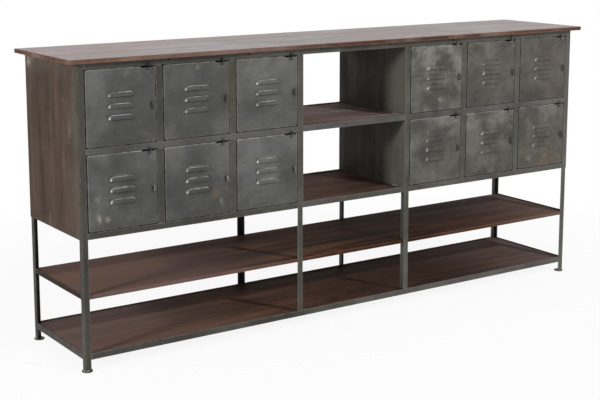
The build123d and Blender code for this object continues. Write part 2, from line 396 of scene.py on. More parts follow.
@dataclass(frozen=True)
class SteelFinish:
    """Sheet or bar steel with a dark patina under satin lacquer, rubbed bright along its edges, with painted
    light and shade along its length, and painted highlights, sheen and shade where its mesh is painted with
    them.
    """

    CLOUDS: ClassVar[Texture] = Texture(4.5, detail=5, rough=0.6, twist=0.2)
    MOTTLE: ClassVar[Texture] = Texture(15, detail=6, rough=0.62, twist=0.3)
    SPECKS: ClassVar[Texture] = Texture(210, detail=3, rough=0.6)
    RUBS: ClassVar[Texture] = Texture((7, 7, 95), detail=5, rough=0.7, turn=(0.0, 0.12, 0.0))
    BROWNING: ClassVar[Texture] = Texture(6.5, detail=6, rough=0.66, twist=0.3, low=0.42, high=0.64)
    VEIL: ClassVar[Texture] = Texture(13, detail=6, rough=0.68, twist=0.2, low=0.38, high=0.66)
    CRUMBS: ClassVar[Texture] = Texture(95, detail=4, rough=0.7, low=0.34, high=0.62)
    SCUFFS: ClassVar[Texture] = Texture(34, detail=5, rough=0.7, low=0.36, high=0.66)

    name: str
    dark: Colour
    base: Colour
    light: Colour
    # The colour of wear, which also carries painted light and painted highlights
    rubbed: Colour
    stain: Colour = paint(72, 62, 50)
    pale: Colour = paint(168, 164, 148)
    rust: Colour = paint(118, 86, 64)
    haze: Colour = paint(118, 119, 116)
    # The colour of the painted shade
    soot: Colour = paint(26, 26, 24)
    spread: float = 0.14
    light_reach: float = 1.15
    haze_floor: float = 0.35
    scuff_floor: float = 0.12
    stain_from: float = 0.15
    stain_to: float = 1.0
    stain_amount: float = 0.0
    # Painted shade toward the left end and painted light toward the right end: where they run and how strong
    # they are
    left_end: float = -1.0
    tone_turn: float = 0.2
    right_end: float = 1.0
    left_shade: float = 0.0
    right_light: float = 0.0
    metal: float = 0.4
    rough_low: float = 0.34
    rough_high: float = 0.5
    gloss: float = 0.35
    relief: float = 0.0003

    def material(self) -> Material:
        """Build the finish.

        Returns:
            The material.
        """
        g = FinishGraph(self.name)
        clouds, mottle = g.noise(self.CLOUDS), g.noise(self.MOTTLE)
        specks, rubs = g.noise(self.SPECKS), g.noise(self.RUBS)
        tone = g.blend([(clouds, 0.56), (mottle, 0.26), (specks, 0.08), (rubs, 0.10)])
        colour = g.shades(tone, (self.dark, self.base, self.light), self.spread, self.light_reach)

        # Painted light and shade along the length: darker toward the left end, paler toward the right end in
        # the rubbed colour
        length = g.along("X")
        darker = g.span(length, self.left_end, self.tone_turn, self.left_shade, 0.0)
        colour = g.mix(darker, colour, self.dark)
        paler = g.span(length, self.tone_turn, self.right_end, 0.0, self.right_light)
        colour = g.mix(paler, colour, self.rubbed)

        brown = g.span(length, self.stain_from, self.stain_to, 0.0, self.stain_amount)
        colour = g.mix(g.math("MULTIPLY", brown, g.spots(self.BROWNING)), colour, self.stain)
        # Where the mesh is painted with haze: the sheet's own clouding, and a painted sheen toward the top of
        # each door
        colour = g.marked(colour, "haze", g.spots(self.VEIL, self.haze_floor), self.haze)
        crumbs = g.spots(self.CRUMBS)
        colour = g.marked(colour, "rust", crumbs, self.rust)
        colour = g.marked(colour, "pale", crumbs, self.pale)
        # Wear in the rubbed colour; on the door sheets this also lays the painted highlights
        colour = g.marked(colour, "wear", g.spots(self.SCUFFS, self.scuff_floor), self.rubbed)
        # Painted shade where the mesh is painted with it: in the gaps, under the louvre lips and round the
        # pulls
        colour = g.mix(g.painted("soot"), colour, self.soot)

        rough = g.span(tone, TONE_LOW, TONE_HIGH, self.rough_high, self.rough_low)
        normal = g.bump(g.blend([(mottle, 0.6), (specks, 0.2), (rubs, 0.2)]), self.relief)
        return g.surface(colour, rough, self.metal, normal, self.gloss)


@dataclass(frozen=True)
class WoodFinish:
    """A stained hardwood board under thin wax, with grain, pores, worn edges and pale scuffs, and painted
    sheen and painted shade along its length.
    """

    FIGURE: ClassVar[Texture] = Texture((1.3, 13, 13), detail=4, rough=0.55, twist=0.9)
    STREAKS: ClassVar[Texture] = Texture((3.2, 70, 70), detail=5, rough=0.62, twist=0.3)
    FIBRES: ClassVar[Texture] = Texture((14, 420, 420), detail=4, rough=0.6)
    BANDS: ClassVar[Texture] = Texture((1.1, 24, 24), detail=4, rough=0.6, twist=0.7, low=0.50, high=0.66)
    PORES: ClassVar[Texture] = Texture((26, 760, 760), detail=3, low=0.56, high=0.70)
    FADING: ClassVar[Texture] = Texture(3.1, detail=5, rough=0.6, twist=0.8, low=0.44, high=0.68)
    CHIPS: ClassVar[Texture] = Texture(30, detail=5, rough=0.7, low=0.38, high=0.62)

    name: str
    grain: Grain
    dark: Colour
    base: Colour
    light: Colour
    bleach_and_sheen: Colour
    edge: Colour
    bleach_amount: float = 0.25
    edge_floor: float = 0.25
    edge_amount: float = 0.6
    pore_amount: float = 0.5
    rough_low: float = 0.34
    rough_high: float = 0.52
    gloss: float = 0.5
    warm: Colour = paint(112, 78, 50)
    warm_amount: float = 0.0
    spread: float = 0.14
    # Painted sheen away from one place along the length, and painted shade close round another
    end_sheen: float = 0.0
    end_sheen_middle: float = 0.15
    end_sheen_from: float = 0.2
    end_sheen_to: float = 0.95
    shade: float = 0.0
    shade_middle: float = 0.38
    shade_from: float = 0.15
    shade_to: float = 0.5
    relief: float = 0.0006

    def grained(self, texture: Texture) -> Texture:
        """Turn a texture that runs along the length so that it follows the grain."""
        return replace(texture, scale=texture.scale[::-1]) if self.grain is Grain.UPRIGHT else texture

    def material(self) -> Material:
        """Build the finish.

        Returns:
            The material.
        """
        g = FinishGraph(self.name)
        # Painted sheen toward the ends and painted shade round a place along the length
        sheened_ends = g.span(g.away("X", self.end_sheen_middle), self.end_sheen_from, self.end_sheen_to, 0.0, self.end_sheen)
        shaded = g.span(g.away("X", self.shade_middle), self.shade_from, self.shade_to, self.shade, 0.0)
        g.shift(g.painted("plank"))

        figure, streaks, fibres = (
            g.noise(self.grained(texture)) for texture in (self.FIGURE, self.STREAKS, self.FIBRES)
        )
        tone = g.blend([(figure, 0.46), (streaks, 0.36), (fibres, 0.18)])
        colour = g.shades(tone, (self.dark, self.base, self.light), self.spread)
        colour = g.mix(g.spots(self.grained(self.BANDS), 0.0, self.warm_amount), colour, self.warm)
        pores = g.spots(self.grained(self.PORES))
        colour = g.mix(g.math("MULTIPLY", pores, self.pore_amount), colour, self.dark)

        faded = g.spots(self.FADING, 0.0, self.bleach_amount)
        # Faded spots and the painted sheen, in one paler colour, then the painted shade
        colour = g.mix(g.math("MAXIMUM", faded, sheened_ends), colour, self.bleach_and_sheen)
        colour = g.mix(shaded, colour, self.dark)
        colour = g.marked(colour, "wear", g.spots(self.CHIPS, self.edge_floor, self.edge_amount), self.edge)
        # Paler where the mesh is painted pale, which on the niche's shelf is painted sheen
        colour = g.mix(g.painted("pale"), colour, self.bleach_and_sheen)

        rough = g.span(tone, TONE_LOW, TONE_HIGH, self.rough_low, self.rough_high)
        height = g.blend([(streaks, 0.45), (fibres, 0.35), (pores, -0.2)])
        return g.surface(colour, rough, 0.0, g.bump(height, self.relief), self.gloss)


@dataclass(frozen=True)
class CladdingFinish:
    """Sheet steel with a matt patina that has run down it in upright streaks, greyer close under the top."""

    DRIFT: ClassVar[Texture] = Texture((14, 14, 1.6), detail=4, rough=0.55, twist=1.2)
    STREAKS: ClassVar[Texture] = Texture((46, 46, 3.0), detail=5, rough=0.6, twist=0.6)
    FINE: ClassVar[Texture] = Texture((260, 260, 12), detail=4, rough=0.6)
    CLOUDS: ClassVar[Texture] = Texture(7, detail=5, rough=0.6, twist=0.9)
    PATCHES: ClassVar[Texture] = Texture(12, detail=5, rough=0.62, twist=0.9, low=0.38, high=0.60)
    CRUMBS: ClassVar[Texture] = Texture(70, detail=4, rough=0.7, low=0.34, high=0.62)

    name: str
    dark: Colour
    base: Colour
    light: Colour
    bare: Colour
    scratch: Colour
    spread: float = 0.12
    bare_from: float = 0.82
    bare_to: float = 0.90
    bare_amount: float = 0.8
    front_from: float = -0.17
    front_to: float = -0.08
    front_amount: float = 0.75
    patch_floor: float = 0.25
    crumb_floor: float = 0.15
    rough_low: float = 0.5
    rough_high: float = 0.64
    gloss: float = 0.03
    relief: float = 0.0003

    def material(self) -> Material:
        """Build the finish.

        Returns:
            The material.
        """
        g = FinishGraph(self.name)
        drift, streaks = g.noise(self.DRIFT), g.noise(self.STREAKS)
        fine, clouds = g.noise(self.FINE), g.noise(self.CLOUDS)
        tone = g.blend([(drift, 0.36), (streaks, 0.18), (fine, 0.10), (clouds, 0.36)])
        colour = g.shades(tone, (self.dark, self.base, self.light), self.spread)

        patches = g.spots(self.PATCHES, self.patch_floor)
        high = g.span(g.along("Z"), self.bare_from, self.bare_to, 0.0, self.bare_amount)
        forward = g.span(g.along("Y"), self.front_from, self.front_to, self.front_amount, 0.0)
        rubbed = g.math("MAXIMUM", high, forward)
        colour = g.mix(g.math("MULTIPLY", rubbed, patches), colour, self.bare)

        crumbs = g.spots(self.CRUMBS, self.crumb_floor)
        colour = g.marked(colour, "pale", crumbs, self.scratch)
        colour = g.marked(colour, "wear", crumbs, self.bare)

        rough = g.span(tone, MIDDLE - self.spread, MIDDLE + self.spread, self.rough_high, self.rough_low)
        normal = g.bump(g.blend([(streaks, 0.4), (fine, 0.3), (clouds, 0.3)]), self.relief)
        return g.surface(colour, rough, 0.0, normal, self.gloss)


class Finishes:
    """Every finish of the sideboard, built once."""

    def __init__(self) -> None:
        """Build the materials."""
        iron = SteelFinish(
            "patinated_iron",
            dark=paint(49, 47, 42), base=paint(73, 71, 65), light=paint(93, 91, 85),
            rubbed=paint(98, 96, 90), left_shade=0.65, right_light=0.3,
            metal=0.3, rough_low=0.42, rough_high=0.56,
        )
        self.iron = iron.material()
        # A lighter, bluer copy of the iron for the middle rails between the doors: painted light
        self.lit_iron = replace(iron, name="lit_rail_iron", base=paint(78, 78, 76), left_shade=0.1).material()
        # A darker copy of the iron: painted shade on the left faces of the left corner posts and on the
        # bottom shelf's end rails
        self.side_shade_iron = SteelFinish(
            "shaded_side_iron",
            dark=paint(32, 30, 26), base=paint(43, 41, 36), light=paint(58, 56, 50),
            rubbed=paint(74, 71, 64), metal=0.3, rough_low=0.46, rough_high=0.6,
        ).material()
        self.bar_iron = SteelFinish(
            "brown_bar",
            dark=paint(30, 25, 20), base=paint(42, 35, 29), light=paint(56, 48, 40),
            rubbed=paint(70, 61, 52), metal=0.1, rough_low=0.5, rough_high=0.64, gloss=0.05,
        ).material()
        # A darker copy of the iron: painted shade on the back posts
        self.back_shade_iron = SteelFinish(
            "sooty_iron",
            dark=paint(24, 24, 22), base=paint(36, 36, 33), light=paint(54, 53, 49),
            rubbed=paint(70, 69, 64), metal=0.3, rough_low=0.46, rough_high=0.6,
        ).material()
        # A near-black copy of the iron: painted shade on the front face of the right middle back post
        self.deep_shade_iron = SteelFinish(
            "deepest_shade_iron",
            dark=paint(13, 13, 12), base=paint(19, 19, 18), light=paint(30, 29, 27),
            rubbed=paint(44, 43, 40), metal=0.1, rough_low=0.5, rough_high=0.64, gloss=0.05,
        ).material()
        # On the door sheets the rubbed colour is near white: besides wear it paints highlights on the louvres
        # and along the top rims
        self.door = SteelFinish(
            "patinated_sheet",
            dark=paint(53, 54, 51), base=paint(71, 71, 68), light=paint(99, 99, 96),
            rubbed=paint(232, 232, 226), stain_amount=0.6,
        ).material()
        self.cloudy_door = SteelFinish(
            "clouded_sheet",
            dark=paint(49, 49, 45), base=paint(67, 66, 61), light=paint(97, 95, 89),
            rubbed=paint(196, 196, 188), haze=paint(131, 130, 123), spread=0.11, haze_floor=0.15,
            stain_amount=0.7,
        ).material()
        self.fitting = SteelFinish(
            "rubbed_rod",
            dark=paint(34, 34, 33), base=paint(58, 58, 56), light=paint(120, 120, 116),
            rubbed=paint(196, 196, 190), metal=0.8, rough_low=0.25, rough_high=0.42,
        ).material()
        # A lighter copy of the rod finish: painted highlights on some pulls and eyes
        self.bright = SteelFinish(
            "highlit_rod",
            dark=paint(76, 75, 70), base=paint(112, 111, 105), light=paint(156, 155, 148),
            rubbed=paint(178, 177, 170), metal=0.8, rough_low=0.25, rough_high=0.42,
        ).material()
        self.black = SteelFinish(
            "blackened_steel",
            dark=paint(26, 26, 25), base=paint(38, 38, 36), light=paint(60, 59, 56),
            rubbed=paint(110, 110, 104), metal=0.5, rough_low=0.42, rough_high=0.58,
        ).material()
        self.bead = SteelFinish(
            "weld_metal",
            dark=paint(84, 83, 76), base=paint(112, 110, 100), light=paint(150, 148, 138),
            rubbed=paint(170, 168, 158), metal=0.4, relief=0.0008,
        ).material()
        self.top = WoodFinish(
            "waxed_top", Grain.LENGTHWISE,
            dark=paint(28, 17, 14), base=paint(80, 57, 51), light=paint(150, 127, 125),
            bleach_and_sheen=paint(146, 136, 142), edge=paint(112, 78, 62), bleach_amount=0.4,
            warm=paint(128, 84, 62), warm_amount=0.4, spread=0.10,
            rough_low=0.31, rough_high=0.45, gloss=1.0,
        ).material()
        self.top_edge = WoodFinish(
            "worn_top_edge", Grain.LENGTHWISE,
            dark=paint(48, 30, 22), base=paint(72, 49, 39), light=paint(102, 75, 62),
            bleach_and_sheen=paint(150, 132, 124), edge=paint(112, 86, 74), bleach_amount=0.35,
            rough_low=0.5, rough_high=0.64, gloss=0.03,
        ).material()
        # The shelves have painted sheen toward their ends and painted shade where the cabinet shades them
        shelf = WoodFinish(
            "stained_shelf", Grain.LENGTHWISE,
            dark=paint(32, 19, 14), base=paint(56, 35, 26), light=paint(88, 62, 47),
            bleach_and_sheen=paint(112, 99, 98), edge=paint(112, 78, 60), bleach_amount=0.14, end_sheen=0.55, shade=0.45,
            warm=paint(104, 74, 50), warm_amount=0.5, spread=0.062,
            rough_low=0.56, rough_high=0.7, gloss=0.015,
        )
        self.shelf = shelf.material()
        self.low_shelf = replace(
            shelf, name="shaded_shelf", end_sheen_middle=0.08, shade=0.7, shade_middle=0.25
        ).material()
        # A lighter, greyer copy of the shelf finish: painted sheen on the niche's upper shelf
        self.sheened_niche_shelf = WoodFinish(
            "sheened_niche_shelf", Grain.LENGTHWISE,
            dark=paint(72, 59, 55), base=paint(112, 99, 97), light=paint(142, 129, 127),
            bleach_and_sheen=paint(136, 125, 124), edge=paint(112, 78, 60), bleach_amount=0.3,
            warm=paint(88, 62, 52), warm_amount=0.3, spread=0.10,
            rough_low=0.56, rough_high=0.7, gloss=0.015,
        ).material()
        self.wall = CladdingFinish(
            "brown_cladding",
            dark=paint(54, 45, 39), base=paint(68, 56, 49), light=paint(81, 66, 57),
            bare=paint(76, 73, 66), scratch=paint(146, 140, 128),
        ).material()
        self.niche = CladdingFinish(
            "grey_cladding",
            dark=paint(70, 66, 61), base=paint(84, 80, 74), light=paint(98, 93, 87),
            bare=paint(90, 87, 81), scratch=paint(126, 122, 112),
        ).material()
        self.inner = WoodFinish(
            "bare_inner_wood", Grain.UPRIGHT,
            dark=paint(72, 58, 48), base=paint(98, 81, 66), light=paint(122, 102, 83),
            bleach_and_sheen=paint(128, 112, 95), edge=paint(132, 111, 92),
            rough_low=0.52, rough_high=0.68, gloss=0.2,
        ).material()


@dataclass(frozen=True)
class Corner:
    """A corner of a flat outline, with the radius that rounds it."""

    u: float
    v: float
    radius: float = 0.0

    @property
    def place(self) -> Vector:
        """The corner's place on its plane."""
        return Vector((self.u, self.v))


@dataclass(frozen=True)
class Outline:
    """A flat closed outline with rounded corners, anticlockwise, that can be moved inward."""

    LEAST_RADIUS: ClassVar[float] = 1e-5

    corners: tuple[Corner, ...]
    shoulder: float = 0.002
    steps: int = 3
    fill: float = 0.0

    def corner_points(self, inward: float) -> list[EdgePoint]:
        """Give the points of the rounded corners.

        Args:
            inward: How far each side is moved inward.

        Returns:
            The points, each with its wear from 0 to 1. Their number is the same for every inset.
        """
        points: list[EdgePoint] = []
        for index, corner in enumerate(self.corners):
            before = corner.place - self.corners[index - 1].place
            after = self.corners[(index + 1) % len(self.corners)].place - corner.place
            come, leave = before.normalized(), after.normalized()
            first, second = Vector((-come.y, come.x)), Vector((-leave.y, leave.x))
            here = corner.place + (first + second) * inward / (1 + first.dot(second))
            if corner.radius == 0.0:
                points.append((here, 0.0))
                continue
            bulges = come.cross(leave) > 0
            slope = math.tan((-come).angle(leave) / 2)
            radius = max(self.LEAST_RADIUS, corner.radius - inward) if bulges else corner.radius + inward
            reach = radius / slope
            middle = (leave - come).normalized()
            centre = here + middle * math.hypot(radius, reach)
            far = corner.radius / slope + self.shoulder
            if before.length > 2 * far:
                points.append((here - come * (reach + self.shoulder), 0.0))
            start, end = here - come * reach - centre, here + leave * reach - centre
            for step in range(self.steps + 1):
                arm = start.lerp(end, step / self.steps).normalized() * radius
                points.append((centre + arm, 1.0 if bulges else 0.0))
            if after.length > 2 * far:
                points.append((here + leave * (reach + self.shoulder), 0.0))
        return points

    def ring(self, inward: float) -> list[EdgePoint]:
        """Give the whole outline, with extra points along its sides if it has a fill.

        Args:
            inward: How far each side is moved inward.

        Returns:
            The points, each with its wear from 0 to 1.
        """
        points = self.corner_points(inward)
        if self.fill == 0.0:
            return points
        full = self.corner_points(0.0)
        filled: list[EdgePoint] = []
        for index, (here, wear) in enumerate(points):
            after = (index + 1) % len(points)
            there = points[after][0]
            parts = max(1, math.ceil((full[after][0] - full[index][0]).length / self.fill))
            filled.append((here, wear))
            filled += [(here.lerp(there, part / parts), 0.0) for part in range(1, parts)]
        return filled


def rectangle(low: Vector, high: Vector, radius: float, shoulder: float, fill: float = 0.0) -> Outline:
    """Give a rectangle's outline.

    Args:
        low: Its lowest corner.
        high: Its highest corner.
        radius: The radius of its corners.
        shoulder: How far past a corner the rubbing fades out.
        fill: The spacing of points along its sides, or 0 for none.

    Returns:
        The outline.
    """
    places = ((low.x, low.y), (high.x, low.y), (high.x, high.y), (low.x, high.y))
    return Outline(tuple(Corner(u, v, radius) for u, v in places), shoulder, fill=fill)


def circle(radius: float, sides: int) -> Outline:
    """Give a circle's outline, about zero.

    Args:
        radius: Its radius.
        sides: The number of its points.

    Returns:
        The outline.
    """
    turns = [2 * math.pi * step / sides for step in range(sides)]
    return Outline(tuple(Corner(radius * math.cos(turn), radius * math.sin(turn)) for turn in turns))


def mirrored_rings(start: list[Ring], run: list[Ring], length: float) -> list[Ring]:
    """Give rings that end as they start.

    Args:
        start: The rings at the start.
        run: The rings between the start and the end.
        length: The whole length.

    Returns:
        All rings, as place along the length, inset and wear.
    """
    return start + run + [(length - place, inward, wear) for place, inward, wear in reversed(start)]


def bar_rings(length: float, edge: float, spacing: float, eased: float = 0.3, faded: float = 4) -> list[Ring]:
    """Give the rings along a bar, with eased cut ends.

    Args:
        length: The bar's length.
        edge: How far its ends are eased.
        spacing: The largest step between rings.
        eased: Where the middle of an eased end lies, as a share of that ease.
        faded: How many eases from the end the rubbing fades out.

    Returns:
        Rings as place along the bar, inset and wear.
    """
    start = faded * edge
    count = max(1, math.ceil((length - 2 * start) / spacing))
    run = [(start + (length - 2 * start) * i / count, 0.0, 0.0) for i in range(count + 1)]
    end = [(0.0, edge, 1.0), (eased * edge, eased * edge, 1.0), (edge, 0.0, 1.0)]
    return mirrored_rings(end, run, length)


def board_rings(
    thickness: float, edge: float, margin: float, side: float = 0.3, side_wear: float = 0.1
) -> list[Ring]:
    """Give the rings through a board's thickness, with rounded and rubbed edges.

    Args:
        thickness: The board's thickness.
        edge: The radius of its edges.
        margin: How far onto the face the rubbing fades out.
        side: Where on the side the rubbing fades out, as a share of its flat part.
        side_wear: How far the side is rubbed there.

    Returns:
        Rings as place through the thickness, inset and wear.
    """
    turns = [math.radians(angle) for angle in (90, 60, 30, 0)]
    rounded = [(edge * (1 - math.sin(t)), edge * (1 - math.cos(t)), 1.0) for t in turns]
    flat = edge + (thickness - 2 * edge) * side
    return mirrored_rings([(0.0, margin, 0.0)] + rounded + [(flat, 0.0, side_wear)], [], thickness)


@dataclass
class Axes:
    """Where an outline lies: its plane's two directions and the direction it is drawn out in."""

    origin: Vector
    u: Vector
    v: Vector

    @property
    def w(self) -> Vector:
        """The direction that the outline is drawn out in."""
        return self.u.cross(self.v)

    def place(self, point: Vector, along: float) -> Vector:
        """Turn a point of the outline, some way along, into a place in space."""
        return self.origin + self.u * point.x + self.v * point.y + self.w * along


@dataclass
class Shell:
    """The points, faces and painted values of one piece while it is made."""

    SHAKES: ClassVar[float] = 400.0

    points: list[Vector] = field(default_factory=list)
    faces: list[tuple[int, ...]] = field(default_factory=list)
    painted: dict[str, list[float]] = field(default_factory=lambda: {"wear": []})

    def add_point(self, place: Vector, **values: float) -> int:
        """Add a point.

        Args:
            place: Where it is.
            **values: Painted values.

        Returns:
            The point's number.
        """
        for key, value in values.items():
            self.painted.setdefault(key, [0.0] * len(self.points)).append(value)
        self.points.append(place)
        for levels in self.painted.values():
            if len(levels) < len(self.points):
                levels.append(0.0)
        return len(self.points) - 1

    def join(self, first: Sequence[int], second: Sequence[int], ring: bool = True) -> None:
        """Add the faces between two rows of points.

        Args:
            first: The first row.
            second: The second row.
            ring: Whether each row's end joins its start.
        """
        count = len(first)
        for i in range(count if ring else count - 1):
            j = (i + 1) % count
            self.faces.append((first[i], first[j], second[j], second[i]))

    def skin(self, rows: list[list[int]], loop: bool = False) -> None:
        """Turn rings of points into a closed solid.

        Args:
            rows: The rings.
            loop: Whether the last ring joins the first.
        """
        for first, second in zip(rows, rows[1:] + rows[:1] if loop else rows[1:]):
            self.join(first, second)
        if not loop:
            self.faces.append(tuple(reversed(rows[0])))
            self.faces.append(tuple(rows[-1]))

    def loft(
        self,
        outline: Outline,
        axes: Axes,
        rings: Sequence[Ring],
        warp: Callable[[Vector], tuple[Vector, float]] | None = None,
        **values: float,
    ) -> None:
        """Draw an outline out into a closed solid.

        Args:
            outline: The outline.
            axes: Where it lies.
            rings: Place along, inset and wear of each ring.
            warp: Moves a place as hand work and use do, and gives the wear that this adds.
            **values: Painted values that are the same all over it.
        """
        rows = []
        for along, inward, worn in rings:
            row = []
            for flat, wear in outline.ring(inward):
                place = axes.place(flat, along)
                added = 0.0
                if warp:
                    place, added = warp(place)
                row.append(self.add_point(place, wear=max(wear, worn, added), **values))
            rows.append(row)
        self.skin(rows)

    def tube(
        self,
        route: Sequence[Vector],
        radii: Sequence[float],
        side: Vector,
        loop: bool = False,
        around: int = 12,
        wear: float = 0.0,
        shake: float = 0.0,
    ) -> None:
        """Draw a round bar along a route that lies square to one direction.

        Args:
            route: The points of its middle line.
            radii: Its radius at each of them.
            side: The direction that the route is square to.
            loop: Whether its end joins its start.
            around: Points round the bar.
            wear: How far it is rubbed.
            shake: How uneven its surface is.
        """
        rows = []
        last = len(route) - 1
        for index, place in enumerate(route):
            before = route[index - 1] if loop or index > 0 else place
            after = route[(index + 1) % len(route)] if loop or index < last else place
            other = (after - before).normalized().cross(side)
            row = []
            for turn in range(around):
                angle = 2 * math.pi * turn / around
                point = place + (side * math.cos(angle) + other * math.sin(angle)) * radii[index]
                point += noise.noise_vector(point * self.SHAKES) * shake
                row.append(self.add_point(point, wear=wear))
            rows.append(row)
        self.skin(rows, loop)

    def bead(
        self, start: Vector, end: Vector, radius: float, ripples: int, swell: float = 0.28, wear: float = 0.4
    ) -> None:
        """Lay a rippled weld bead between two points.

        Args:
            start: Where it starts.
            end: Where it ends.
            radius: Its half width.
            ripples: How many pools of metal it has.
            swell: How far the pools swell, as a share of the radius.
            wear: How far it is rubbed.
        """
        steps_each, blunt, least, uneven = 6, 6, 0.02, 0.2
        count = steps_each * ripples
        parts = [step / count for step in range(count + 1)]
        swells = [1 - swell + swell * abs(math.sin(math.pi * part * ripples)) for part in parts]
        tapers = [math.sqrt(max(least, 1 - (2 * part - 1) ** blunt)) for part in parts]
        self.tube(
            [start.lerp(end, part) for part in parts],
            [radius * swelling * taper for swelling, taper in zip(swells, tapers)],
            (end - start).orthogonal().normalized(), around=10, wear=wear, shake=radius * uneven,
        )

    def piece(
        self,
        name: str,
        material: Material,
        slot: str,
        body: str = FRAME_BODY,
        stands_for: Sequence[str] = (),
        closed: bool = True,
        sharp: float = 50.0,
    ) -> bpy.types.Object:
        """Make the mesh object, dress it and fix it to its body.

        Args:
            name: The piece's name.
            material: Its finish.
            slot: The record's slot for that finish; not used.
            body: The body that it moves with.
            stands_for: The nodes that it replaces.
            closed: Whether the faces can be turned outward by themselves.
            sharp: Edges that turn by more degrees than this stay sharp.

        Returns:
            The object.
        """
        mesh = bpy.data.meshes.new(name)
        mesh.from_pydata(self.points, [], self.faces)
        for key, levels in self.painted.items():
            mesh.attributes.new(key, "FLOAT", "POINT").data.foreach_set("value", levels)
        if closed:
            work = bmesh.new()
            work.from_mesh(mesh)
            bmesh.ops.recalc_face_normals(work, faces=work.faces[:])
            work.to_mesh(mesh)
            work.free()
        mesh.polygons.foreach_set("use_smooth", [True] * len(mesh.polygons))
        mesh.set_sharp_from_angle(angle=math.radians(sharp))
        mesh.materials.append(material)
        mesh.update()
        piece = bpy.data.objects.new(name, mesh)
        bpy.context.scene.collection.objects.link(piece)
        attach(piece, body)
        if stands_for:
            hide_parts(*stands_for)
        LOG.info("%s: %d points, rides on %s", name, len(self.points), body)
        return piece


def dress_faces(
    piece: bpy.types.Object, material: Material, chosen: Callable[[bpy.types.MeshPolygon], bool]
) -> None:
    """Give some faces of a piece a second finish.

    Args:
        piece: The piece.
        material: The second finish.
        chosen: Tells whether a face takes that finish.
    """
    piece.data.materials.append(material)
    for face in piece.data.polygons:
        face.material_index = int(chosen(face))


